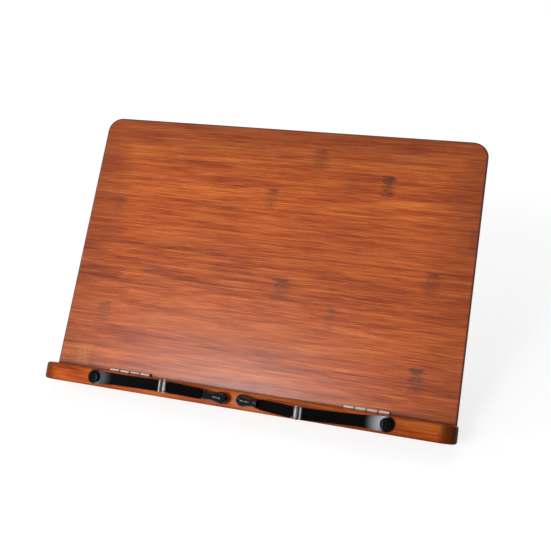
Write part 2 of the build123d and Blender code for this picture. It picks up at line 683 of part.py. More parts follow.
def report_direction(label, place, direction):
    """Prints where a direction of a placed frame ends up."""
    frame = LEANED * place
    way = (frame * Pos(*direction)).position - frame.position
    print(f"{label}: {way.X:.6f} {way.Y:.6f} {way.Z:.6f}")


report("ledge pin", 0, *LEDGE_PIN)
report("strut pin", 0, *STRUT_PIN)
report("bail pin", 0, *BAIL_PIN)
report("bail in its notch", 0, *BAIL_REST)
report("board heel", 0, BOARD_THICKNESS, -BOARD_BELOW_LEDGE)
report("ledge corner", 0, 0, 0)
for side in SIDES:
    place = clip_place(side)
    at = place.position
    report(f"clip {side} pivot", at.X, at.Y, at.Z)
    report_direction(f"clip {side} pivot axis, outwards", place, (0, -1, 0))
    knee = place * Rot(Y=-CLIP_TURN)
    at = (knee * Pos(KNEE_ALONG, -KNEE_OUT, 0)).position
    report(f"clip {side} knee", at.X, at.Y, at.Z)
    report_direction(f"clip {side} knee axis", knee, (0, 0, -1))
print(f"bail length {BAIL_LENGTH:.2f}, open {BAIL_OPEN:.2f} degrees from the board")
print(f"size {box.size.X:.2f} {box.size.Y:.2f} {box.size.Z:.2f}")
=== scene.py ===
"""Looks, light and camera of the folding bamboo reading stand."""

import logging
from dataclasses import dataclass
from enum import Enum, StrEnum
from math import atan2, cos, floor, pi, radians, sin
from typing import Any, Sequence, Union

import bmesh
import bpy
from mathutils import Matrix, Vector


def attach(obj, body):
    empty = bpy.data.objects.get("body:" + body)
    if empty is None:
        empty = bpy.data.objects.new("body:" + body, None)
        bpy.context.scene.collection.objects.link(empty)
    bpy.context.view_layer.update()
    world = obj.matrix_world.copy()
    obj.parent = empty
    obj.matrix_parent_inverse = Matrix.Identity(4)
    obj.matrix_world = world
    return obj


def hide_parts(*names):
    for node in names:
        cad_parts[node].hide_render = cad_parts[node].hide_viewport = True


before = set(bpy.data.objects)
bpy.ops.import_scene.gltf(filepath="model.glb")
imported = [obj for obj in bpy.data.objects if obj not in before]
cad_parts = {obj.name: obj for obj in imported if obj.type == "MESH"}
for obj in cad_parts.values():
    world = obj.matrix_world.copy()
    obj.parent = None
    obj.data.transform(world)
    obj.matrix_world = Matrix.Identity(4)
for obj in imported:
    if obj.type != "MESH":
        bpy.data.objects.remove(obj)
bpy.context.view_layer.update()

LOG = logging.getLogger("reading_stand")
MM = 0.001
Pair = tuple[float, float]
Triple = tuple[float, float, float]
Colour = tuple[float, float, float, float]


def srgb(red: int, green: int, blue: int) -> Colour:
    """A colour as it is seen on a screen, turned into the linear one that shaders take.

    Args:
        red: Red, 0 to 255.
        green: Green, 0 to 255.
        blue: Blue, 0 to 255.

    Returns:
        The linear colour with full alpha.
    """
    steps = (c / 255 for c in (red, green, blue))
    r, g, b = (c / 12.92 if c <= 0.04045 else ((c + 0.055) / 1.055) ** 2.4 for c in steps)
    return (r, g, b, 1.0)


def grey(level: float) -> Colour:
    """A linear grey, 0 to 1."""
    return (level, level, level, 1.0)


def shift(x: float, y: float, z: float) -> Matrix:
    """A move, given in millimetres."""
    return Matrix.Translation(Vector((x, y, z)) * MM)


def turn(degrees: float, axis: str) -> Matrix:
    """A turn about one of the axes, in degrees."""
    return Matrix.Rotation(radians(degrees), 4, axis)


# Where the main pieces lie


class Side(StrEnum):
    """The stand's two sides, as its reader sees them."""

    LEFT = "left"
    RIGHT = "right"

    @property
    def way(self) -> int:
        """-1 on the left and 1 on the right, as X runs."""
        return -1 if self is Side.LEFT else 1


class Flap(StrEnum):
    """The two pieces that fold on the board's hinges, by their body's name."""

    LEDGE = "ledge"
    STRUT = "strut"


class Slot(StrEnum):
    """The record's material slots for the fittings."""

    HINGES = "hinge_steel"
    SCREWS = "bright_screws"
    ENAMEL = "black_enamel"
    FITTINGS = "black_fittings"
    WIRE = "black_wire"
    RUBBER = "boot_rubber"
    SPRINGS = "spring_steel"
    WASHERS = "washer_plastic"


@dataclass(frozen=True)
class Layout:
    """The stand's main planes and pins, as the source gives them, in millimetres and degrees."""

    lean: float = 36.1
    corner: Triple = (0.0, -51.533, 14.953)
    ledge_droop: float = 3.73
    ledge_depth: float = 25.7
    ledge_pin: Pair = (-1.9, 0.6)
    ledge_hinge_x: float = 100.5
    strut_open: float = 58.0
    strut_pin: Pair = (10.9, 136.2)
    strut_hinge_x: float = 23.0
    bail_pin: Pair = (11.0, 26.2)
    bail_open: float = 52.28
    clip_x: float = 119.2
    clip_down: float = 6.1
    clip_turn: float = 1.67

    def board(self) -> Matrix:
        """The board's frame: X to the right, Y back through it, Z up along it."""
        return shift(*self.corner) @ turn(-self.lean, "X")

    def ledge(self) -> Matrix:
        """The ledge's frame, with its top in the plane Z = 0."""
        return self.board() @ turn(self.ledge_droop, "X")

    def strut(self) -> Matrix:
        """The opened strut's frame, with its pin at the origin and Z along it."""
        return self.board() @ shift(0, *self.strut_pin) @ turn(self.strut_open, "X")

    def bail(self) -> Matrix:
        """The bail's frame, with its ends on the X axis and its sides along Z."""
        return self.board() @ shift(0, *self.bail_pin) @ turn(-self.bail_open, "X")

    def hinge(self, flap: Flap, side: Side, moving: bool) -> Matrix:
        """A hinge's frame, with its pin along X and its leaves down -Z.

        Args:
            flap: What folds on it.
            side: Which of the two hinges it is.
            moving: True for the flap's leaf, False for the board's.

        Returns:
            The frame.
        """
        if flap is Flap.LEDGE:
            return self.board() @ shift(side.way * self.ledge_hinge_x, *self.ledge_pin)
        start = self.strut() if moving else self.board() @ shift(0, *self.strut_pin)
        return start @ shift(side.way * self.strut_hinge_x, 0, 0) @ turn(180, "Z")

    def clip(self, side: Side) -> Matrix:
        """A clip's frame: X along it from its pivot, -Y out of the ledge's front.

        Args:
            side: Which of the two clips it is.

        Returns:
            The frame.
        """
        half_round = 0 if side is Side.LEFT else 180
        at = shift(side.way * self.clip_x, -self.ledge_depth, -self.clip_down)
        return self.ledge() @ at @ turn(half_round, "Y") @ turn(-self.clip_turn, "Y")


LAYOUT = Layout()


# Node trees


class Graph:
    """A node tree that one method fills."""

    def __init__(self, tree: bpy.types.NodeTree) -> None:
        """Starts with an empty tree.

        Args:
            tree: The tree to fill.
        """
        self.tree = tree
        tree.nodes.clear()

    def add(
        self,
        kind: str,
        settings: dict[str, Any] | None = None,
        sockets: dict[str | int, Any] | None = None,
    ) -> bpy.types.Node:
        """Adds one node.

        Args:
            kind: The node's type.
            settings: Its own properties, set first. The key stops holds a ramp's stops.
            sockets: Its inputs by name, identifier or number, each a value or a link.

        Returns:
            The new node.
        """
        node = self.tree.nodes.new(kind)
        for name, value in (settings or {}).items():
            if name == "stops":
                self._fill_ramp(node.color_ramp, value)
            else:
                setattr(node, name, value)
        for key, value in (sockets or {}).items():
            socket = self._input(node, key)
            if isinstance(value, Value):
                value = value.socket
            if isinstance(value, bpy.types.NodeSocket):
                self.tree.links.new(value, socket)
            else:
                socket.default_value = value
        return node

    @staticmethod
    def _input(node: bpy.types.Node, key: str | int) -> bpy.types.NodeSocket:
        """Finds an input.

        Args:
            node: The node.
            key: The input's number, identifier or name.

        Returns:
            The input.
        """
        if isinstance(key, str):
            for socket in node.inputs:
                if socket.identifier == key:
                    return socket
        return node.inputs[key]

    @staticmethod
    def _fill_ramp(ramp: bpy.types.ColorRamp, stops: Sequence[tuple[float, Colour]]) -> None:
        """Gives a ramp its stops.

        Args:
            ramp: The ramp.
            stops: Places and colours, in order.
        """
        while len(ramp.elements) < len(stops):
            ramp.elements.new(1.0)
        for element, (place, colour) in zip(ramp.elements, stops):
            element.position = place
            element.color = colour


class Value:
    """A number in a node tree, on which Python's operators add Math nodes."""

    def __init__(self, graph: Graph, socket: bpy.types.NodeSocket) -> None:
        """Wraps an output.

        Args:
            graph: The tree that it belongs to.
            socket: The output.
        """
        self.graph = graph
        self.socket = socket

    def _math(self, operation: str, *terms: "Number") -> "Value":
        """A Math node on some terms."""
        node = self.graph.add("ShaderNodeMath", {"operation": operation}, dict(enumerate(terms)))
        return Value(self.graph, node.outputs[0])

    def __add__(self, other: "Number") -> "Value":
        """The sum."""
        return self._math("ADD", self, other)

    def __radd__(self, other: float) -> "Value":
        """The sum."""
        return self._math("ADD", other, self)

    def __sub__(self, other: "Number") -> "Value":
        """The difference."""
        return self._math("SUBTRACT", self, other)

    def __rsub__(self, other: float) -> "Value":
        """The difference, from a plain number."""
        return self._math("SUBTRACT", other, self)

    def __mul__(self, other: "Number") -> "Value":
        """The product."""
        return self._math("MULTIPLY", self, other)

    def __rmul__(self, other: float) -> "Value":
        """The product."""
        return self._math("MULTIPLY", other, self)

    def __truediv__(self, other: "Number") -> "Value":
        """The quotient."""
        return self._math("DIVIDE", self, other)

    def __abs__(self) -> "Value":
        """The size without its sign."""
        return self._math("ABSOLUTE", self)

    def __gt__(self, other: "Number") -> "Value":
        """1 where this is the greater, 0 elsewhere."""
        return self._math("GREATER_THAN", self, other)

    def whole(self) -> "Value":
        """The whole number below."""
        return self._math("FLOOR", self)

    def least(self, other: "Number") -> "Value":
        """The smaller of the two."""
        return self._math("MINIMUM", self, other)

    def most(self, other: "Number") -> "Value":
        """The larger of the two."""
        return self._math("MAXIMUM", self, other)

    def root(self) -> "Value":
        """The square root."""
        return self._math("SQRT", self)

    def kept(self) -> "Value":
        """The value held between 0 and 1."""
        return self.most(0.0).least(1.0)

    def sway(self, size: float) -> "Value":
        """How far the value is from 0.5, the middle of noise, times a size."""
        return (self - 0.5) * size

    def rise(self, low: float, high: float) -> "Value":
        """A soft step.

        Args:
            low: Where it is still 0.
            high: Where it has reached 1.

        Returns:
            The step's value.
        """
        node = self.graph.add(
            "ShaderNodeMapRange",
            {"interpolation_type": "SMOOTHSTEP", "clamp": True},
            {"Value": self, "From Min": low, "From Max": high},
        )
        return Value(self.graph, node.outputs[0])


Number = Union[Value, float]
Tint = tuple[Number, Colour]


@dataclass(frozen=True)
class Texture:
    """Smooth noise.

    Attributes:
        size: The length of its bumps along three directions, in millimetres.
        detail: How many finer layers it has.
        rough: How strong those are.
    """

    size: Triple
    detail: float = 2.0
    rough: float = 0.5


def even(size: float, detail: float = 2.0) -> Texture:
    """Noise of the same size in all directions."""
    return Texture((size, size, size), detail)


class Surface(Graph):
    """A material's nodes, from the piece's coordinates to its shader."""

    def __init__(self, name: str, constants: dict[str, Any]) -> None:
        """Starts a material.

        Args:
            name: Its name.
            constants: What is the same all over, for the shader's own sockets.
        """
        self.material = bpy.data.materials.new(name)
        self.material.use_nodes = True
        super().__init__(self.material.node_tree)
        self.shader = self.add("ShaderNodeBsdfPrincipled", {}, constants)
        self.add("ShaderNodeOutputMaterial", {}, {"Surface": self.shader.outputs[0]})
        self.object_place = self.add("ShaderNodeTexCoord").outputs["Object"]

    def coordinates(self, place: Matrix) -> tuple[Value, ...]:
        """The piece's coordinates in a frame of its own, in millimetres.

        Args:
            place: Where that frame lies.

        Returns:
            X, Y and Z.
        """
        inputs = {
            "Vector": self.object_place,
            "Location": place.to_translation(),
            "Rotation": place.to_euler(),
            "Scale": (MM, MM, MM),
        }
        mapped = self.add("ShaderNodeMapping", {"vector_type": "TEXTURE"}, inputs)
        parts = self.add("ShaderNodeSeparateXYZ", {}, {0: mapped.outputs[0]})
        return tuple(Value(self, output) for output in parts.outputs)

    def noise(self, texture: Texture, at: Sequence[Number]) -> Value:
        """Smooth noise, 0 to 1.

        Args:
            texture: The noise's sizes.
            at: The place along its three directions, in millimetres.

        Returns:
            The noise.
        """
        scaled = [place / size for place, size in zip(at, texture.size)]
        vector = self.add("ShaderNodeCombineXYZ", {}, dict(enumerate(scaled))).outputs[0]
        inputs = {"Vector": vector, "Scale": 1.0, "Detail": texture.detail, "Roughness": texture.rough}
        return Value(self, self.add("ShaderNodeTexNoise", {}, inputs).outputs[0])

    def chance(self, number: Value, seed: float) -> Value:
        """A fixed random value for each whole number.

        Args:
            number: The whole number.
            seed: What makes one such draw differ from the next.

        Returns:
            The value, 0 to 1.
        """
        inputs = {"W": number + seed}
        node = self.add("ShaderNodeTexWhiteNoise", {"noise_dimensions": "1D"}, inputs)
        return Value(self, node.outputs["Value"])

    def ramp(self, value: Value, stops: Sequence[tuple[float, Colour]]) -> bpy.types.NodeSocket:
        """A colour that follows a value through some stops."""
        return self.add("ShaderNodeValToRGB", {"stops": stops}, {0: value}).outputs["Color"]

    def paint(self, colour: Colour | bpy.types.NodeSocket, tints: Sequence[Tint]) -> None:
        """Gives the surface its colour.

        Args:
            colour: The first colour.
            tints: What is laid over it in turn: how much of it shows, and its colour.
        """
        for share, tint in tints:
            inputs = {"Factor_Float": share, "A_Color": colour, "B_Color": tint}
            colour = self.add("ShaderNodeMix", {"data_type": "RGBA"}, inputs).outputs[2]
        self.feed("Base Color", colour)

    def bump(self, height: Value, strength: float, depth: float) -> None:
        """Raises the surface's shading.

        Args:
            height: The relief, 0 to 1.
            strength: How strongly it shows.
            depth: Its depth in millimetres.
        """
        inputs = {"Height": height, "Strength": strength, "Distance": depth * MM}
        self.feed("Normal", self.add("ShaderNodeBump", {}, inputs).outputs[0])

    def feed(self, socket: str, source: Any) -> None:
        """Links a value or a colour to one of the shader's sockets."""
        source = source.socket if isinstance(source, Value) else source
        self.tree.links.new(source, self.shader.inputs[socket])


class Shaper(Graph):
    """A Geometry Nodes tree with named inputs, which ends as a plain mesh."""

    def __init__(self, name: str) -> None:
        """Starts the tree with its geometry and its finish as inputs.

        Args:
            name: The tree's name.
        """
        super().__init__(bpy.data.node_groups.new(name, "GeometryNodeTree"))
        self.identifiers: dict[str, str] = {}
        self.start = self.add("NodeGroupInput")
        self.geometry = self.given("Geometry", "NodeSocketGeometry")
        self.finish = self.given("Finish", "NodeSocketMaterial")

    def given(self, name: str, kind: str = "NodeSocketFloat") -> bpy.types.NodeSocket:
        """Adds a named input.

        Args:
            name: Its name.
            kind: Its socket's type.

        Returns:
            The socket that gives it inside the tree.
        """
        item = self.tree.interface.new_socket(name, in_out="INPUT", socket_type=kind)
        self.identifiers[name] = item.identifier
        return next(s for s in self.start.outputs if s.identifier == item.identifier)

    def sweep(self, path: bpy.types.NodeSocket, radius: bpy.types.NodeSocket, sides: int) -> None:
        """Ends the tree with round wire along a path.

        Args:
            path: The path, a curve.
            radius: The wire's radius.
            sides: How many sides the wire has.
        """
        ring = self.add("GeometryNodeCurvePrimitiveCircle", {}, {"Resolution": sides, "Radius": radius})
        sockets = {"Curve": path, "Profile Curve": ring.outputs[0], "Fill Caps": True}
        self.end(self.add("GeometryNodeCurveToMesh", {}, sockets).outputs[0])

    def end(self, geometry: bpy.types.NodeSocket) -> None:
        """Ends the tree: real geometry with the finish on it.

        Args:
            geometry: What the tree made.
        """
        out = {"in_out": "OUTPUT", "socket_type": "NodeSocketGeometry"}
        item = self.tree.interface.new_socket("Geometry", **out)
        real = self.add("GeometryNodeRealizeInstances", {}, {0: geometry}).outputs[0]
        sockets = {"Geometry": real, "Material": self.finish}
        dressed = self.add("GeometryNodeSetMaterial", {}, sockets).outputs[0]
        self.add("NodeGroupOutput", {}, {item.identifier: dressed})

    def run(self, name: str, mesh: bpy.types.Mesh, values: dict[str, Any]) -> bpy.types.Object:
        """Runs the tree on a mesh.

        Args:
            name: The piece's name.
            mesh: What the tree starts from.
            values: Its named inputs.

        Returns:
            The piece, a plain mesh.
        """
        piece = shown(name, mesh)
        modifier = piece.modifiers.new("shape", "NODES")
        modifier.node_group = self.tree
        for key, value in values.items():
            modifier[self.identifiers[key]] = value
        settled(piece)
        smoothed(piece.data)
        return piece


# Meshes

SMOOTH_UP_TO = 32.0
RUBBER_SMOOTH_UP_TO = 60.0
EASED_FROM = 40.0
FLAT_WITHIN = 1.0
SAME_POINT_MM = 1e-5
SAME_CAD_POINT_M = 2e-7


def shown(name: str, mesh: bpy.types.Mesh) -> bpy.types.Object:
    """Puts a mesh in the scene as a piece.

    Args:
        name: The piece's name.
        mesh: Its mesh.

    Returns:
        The piece.
    """
    piece = bpy.data.objects.new(name, mesh)
    bpy.context.scene.collection.objects.link(piece)
    return piece


def settled(piece: bpy.types.Object) -> bpy.types.Object:
    """Turns a piece and its modifiers into a plain mesh.

    Args:
        piece: The piece.

    Returns:
        The same piece, with no modifiers left.
    """
    bpy.context.view_layer.update()
    evaluated = piece.evaluated_get(bpy.context.evaluated_depsgraph_get())
    mesh = bpy.data.meshes.new_from_object(evaluated)
    piece.modifiers.clear()
    piece.data = mesh
    return piece


def smoothed(mesh: bpy.types.Mesh, angle: float = SMOOTH_UP_TO) -> bpy.types.Mesh:
    """Shades a mesh smooth, except across its sharp edges.

    Args:
        mesh: The mesh.
        angle: The angle in degrees from which an edge is sharp.

    Returns:
        The same mesh.
    """
    mesh.polygons.foreach_set("use_smooth", [True] * len(mesh.polygons))
    mesh.set_sharp_from_angle(angle=radians(angle))
    return mesh


def finished_mesh(bm: bmesh.types.BMesh, name: str, place: Matrix) -> bpy.types.Mesh:
    """Closes a mesh's making.

    Args:
        bm: The mesh that was built, in millimetres.
        name: Its name.
        place: Where it goes.

    Returns:
        The mesh in its place, in metres, with its faces outwards.
    """
    bmesh.ops.remove_doubles(bm, verts=bm.verts, dist=SAME_POINT_MM)
    bmesh.ops.recalc_face_normals(bm, faces=bm.faces)
    mesh = bpy.data.meshes.new(name)
    bm.to_mesh(mesh)
    bm.free()
    mesh.transform(place @ Matrix.Scale(MM, 4))
    return smoothed(mesh)


def softened(node: str, width: float) -> bpy.types.Object:
    """A copy of a CAD node with its sharp edges eased.

    Args:
        node: The node's name.
        width: The easing's width in millimetres.

    Returns:
        The new piece.
    """
    bm = bmesh.new()
    bm.from_mesh(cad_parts[node].data)
    bmesh.ops.remove_doubles(bm, verts=bm.verts, dist=SAME_CAD_POINT_M)
    flat = {"angle_limit": radians(FLAT_WITHIN), "use_dissolve_boundaries": False}
    bmesh.ops.dissolve_limit(bm, verts=bm.verts, edges=bm.edges, **flat)
    mesh = bpy.data.meshes.new(node + "_eased")
    bm.to_mesh(mesh)
    bm.free()
    mesh.materials.clear()
    piece = shown(node + "_eased", smoothed(mesh, EASED_FROM))
    bevel = piece.modifiers.new("ease", "BEVEL")
    bevel.width = width * MM
    bevel.segments = 2
    bevel.limit_method = "ANGLE"
    bevel.angle_limit = radians(EASED_FROM)
    bevel.use_clamp_overlap = True
    normals = piece.modifiers.new("even", "WEIGHTED_NORMAL")
    normals.weight = 100
    normals.keep_sharp = True
    return settled(piece)


def dress(piece: bpy.types.Object, material: bpy.types.Material) -> None:
    """Gives a piece its one finish."""
    piece.data.materials.clear()
    piece.data.materials.append(material)


def stand_for(piece: bpy.types.Object, node: str, body: str) -> None:
    """Hides the CAD node that a piece replaces and hangs the piece on the body that it rides on.

    Args:
        piece: The piece.
        node: The CAD node that it stands for.
        body: The body that it rides on.
    """
    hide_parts(node)
    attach(piece, body)
    LOG.info("%s stands for %s on %s", piece.name, node, body)


def ease(node: str, width: float, finish: bpy.types.Material, body: str) -> None:
    """Stands an eased and dressed copy in for a CAD node.

    Args:
        node: The node's name.
        width: The easing's width in millimetres.
        finish: The copy's finish.
        body: The body that it rides on.
    """
    piece = softened(node, width)
    dress(piece, finish)
    stand_for(piece, node, body)


Ring = list[bmesh.types.BMVert]


def pairs(ring: Ring) -> list[tuple[bmesh.types.BMVert, bmesh.types.BMVert]]:
    """Each point of a ring with the next one round it."""
    return list(zip(ring, ring[1:] + ring[:1]))


def join(bm: bmesh.types.BMesh, rings: Sequence[Ring]) -> None:
    """Joins each ring of points to the next one with faces.

    Args:
        bm: The mesh to add to.
        rings: The rings in order, all with the same number of points.
    """
    for near, far in zip(rings, rings[1:]):
        for (a, b), (c, d) in zip(pairs(near), pairs(far)):
            bm.faces.new((a, b, d, c))


def close(bm: bmesh.types.BMesh, ring: Ring, tip: Triple) -> None:
    """Closes a ring of points with triangles that meet in one point.

    Args:
        bm: The mesh to add to.
        ring: The ring.
        tip: Where the triangles meet.
    """
    middle = bm.verts.new(tip)
    for a, b in pairs(ring):
        bm.faces.new((a, b, middle))


def lathe(bm: bmesh.types.BMesh, profile: Sequence[Pair], sides: int) -> list[Ring]:
    """Turns a profile round Z.

    Args:
        bm: The mesh to add to.
        profile: Radii and heights, in order.
        sides: How many sides it has.

    Returns:
        The rings of points.
    """
    rings = []
    for radius, height in profile:
        angles = (2 * pi * i / sides for i in range(sides))
        rings.append([bm.verts.new((radius * cos(a), radius * sin(a), height)) for a in angles])
    join(bm, rings)
    return rings


# Finishes


class Grain(Enum):
    """The axes of a bamboo piece's own frame: along its fibres, across its strips, through it."""

    BOARD = (0, 2, 1)
    BAR = (0, 1, 2)
    PROP = (2, 0, 1)


class Draw(Enum):
    """The fixed seeds of what is different from strip to strip."""

    TONE = 3.7
    WARMTH = 41.3
    SLIDE = 77.1
    MARK_PLACE = 12.9
    MARK_DEPTH = 93.0


@dataclass(frozen=True)
class StalkMark:
    """The dark band that a stalk's joint leaves across one strip.

    Attributes:
        along: Its place along the strip, in millimetres.
        strip: The strip's number, counted up from the ledge.
        depth: How dark it is. Below 0 it is paler than the strip.
        half: Half its width in millimetres.
    """

    along: float
    strip: int
    depth: float
    half: float = 6.0


BOARD_MARKS = (
    StalkMark(-148.0, 0, -0.6, 7.0),
    StalkMark(135.6, 1, 1.25),
    StalkMark(-137.0, 2, 0.65, 6.5),
    StalkMark(61.4, 3, 0.6),
    StalkMark(16.5, 4, 0.95, 8.0),
    StalkMark(-99.0, 4, 0.3, 9.0),
    StalkMark(138.0, 5, 0.8, 7.0),
    StalkMark(166.5, 7, 0.7, 4.0),
    StalkMark(-142.7, 7, 0.6, 7.0),
    StalkMark(-4.4, 8, 0.85, 5.5),
    StalkMark(92.9, 9, 1.6, 5.5),
    StalkMark(33.1, 10, 0.75, 7.0),
    StalkMark(111.7, 11, 0.5, 7.0),
)


@dataclass(frozen=True)
class EdgeStain:
    """Painted shade along the edges of a panel's front, stronger higher up, in millimetres.

    Attributes:
        half: The panel's half width.
        top: The height of its top.
        corner: Its top corners' radius.
        reach: How far in from the edge the painted shade goes.
        low: How strong it is at the edge, low on the panel.
        more: How much stronger it is above the heights of climb.
        rim: How far in the painted dark rim at the rounded edge goes, and how far in it is full.
        joint: The height of the painted shadow at the joint with the ledge.
        joint_half: Half that shadow's width, where it is full and where it ends.
        front: The depths between which rim and joint fade.
        dark: How strong rim and joint are.
    """

    half: float
    top: float
    corner: float
    reach: float = 52.0
    low: float = 0.28
    more: float = 0.2
    climb: Pair = (60.0, 200.0)
    rim: Pair = (2.2, 0.9)
    joint: float = 0.2
    joint_half: Pair = (0.3, 1.1)
    front: Pair = (0.7, 1.8)
    dark: float = 0.8
    # colours of the painted shade near the edges, and of the painted rim and joint shadow
    stain: Colour = (0.11, 0.019, 0.003, 1.0)
    grime: Colour = (0.04, 0.009, 0.005, 1.0)

    def beyond(self, x: Value, z: Value) -> Value:
        """How far beyond the panel's edge a place is.

        Args:
            x: The place across the panel.
            z: The place up the panel.

        Returns:
            The distance in millimetres, 0 at the edge and below 0 inside it.
        """
        dx = abs(x) - (self.half - self.corner)
        dz = z - (self.top - self.corner)
        outer = (dx.most(0.0) * dx.most(0.0) + dz.most(0.0) * dz.most(0.0)).root()
        return outer + dx.most(dz).least(0.0) - self.corner

    def tints(self, x: Value, y: Value, z: Value) -> list[Tint]:
        """What it lays over the bamboo.

        Args:
            x: The place across the panel.
            y: The depth in the panel.
            z: The place up the panel.

        Returns:
            The painted shade, then the painted shade of rim and joint.
        """
        beyond = self.beyond(x, z)
        # painted shade: darker within reach of the panel's edges, and more so higher up
        edge_shade = beyond.rise(-self.reach, 0.0) * (self.low + z.rise(*self.climb) * self.more)
        # painted shade: a dark rim at the rounded edge, and a painted shadow at the joint with the ledge
        joint = 1 - abs(z - self.joint).rise(*self.joint_half)
        end, full = self.rim
        rim = beyond.rise(-end, -full).most(joint) * (1 - y.rise(*self.front))
        return [(edge_shade, self.stain), (rim * self.dark, self.grime)]


@dataclass(frozen=True)
class EndStain:
    """Darker ends of a bar, partly end-grain stain and partly painted shade, and painted shade that
    deepens towards its right end.

    Attributes:
        ends: How far from the middle the end grain starts to darken, and where it is full.
        soaked: How dark the ends are, with end-grain stain and painted shade.
        run: The places between which the painted shade deepens to the right.
        drift: How dark that painted shade gets there.
    """

    ends: Pair
    soaked: float = 0.84
    run: Pair = (40.0, 150.0)
    drift: float = 0.34
    # the colour of both the end stain and the painted shade
    stain: Colour = (0.1, 0.018, 0.003, 1.0)

    def tint(self, along: Value) -> Tint:
        """What it lays over the bamboo, at a place along the bar."""
        # end-grain stain and painted shade at both ends, and painted shade deepening to the right
        end = abs(along).rise(*self.ends) * self.soaked
        return end.most(along.rise(*self.run) * self.drift), self.stain


@dataclass(frozen=True)
class Strips:
    """Where a place lies among the strips that the bamboo is pressed from.

    Attributes:
        along: How far along the fibres it is.
        line: How far across them, with their waver.
        depth: How far through the piece.
        strip: The strip's number.
        inside: How far across the strip, 0 to 1.
        side: How far from the strip's nearer side, 0 to 0.5.
        behind: 1 in the rear layer, 0 in the front one.
        number: The strip's number, another one in the rear layer.
    """

    along: Value
    line: Value
    depth: Value
    strip: Value
    inside: Value
    side: Value
    behind: Value
    number: Value


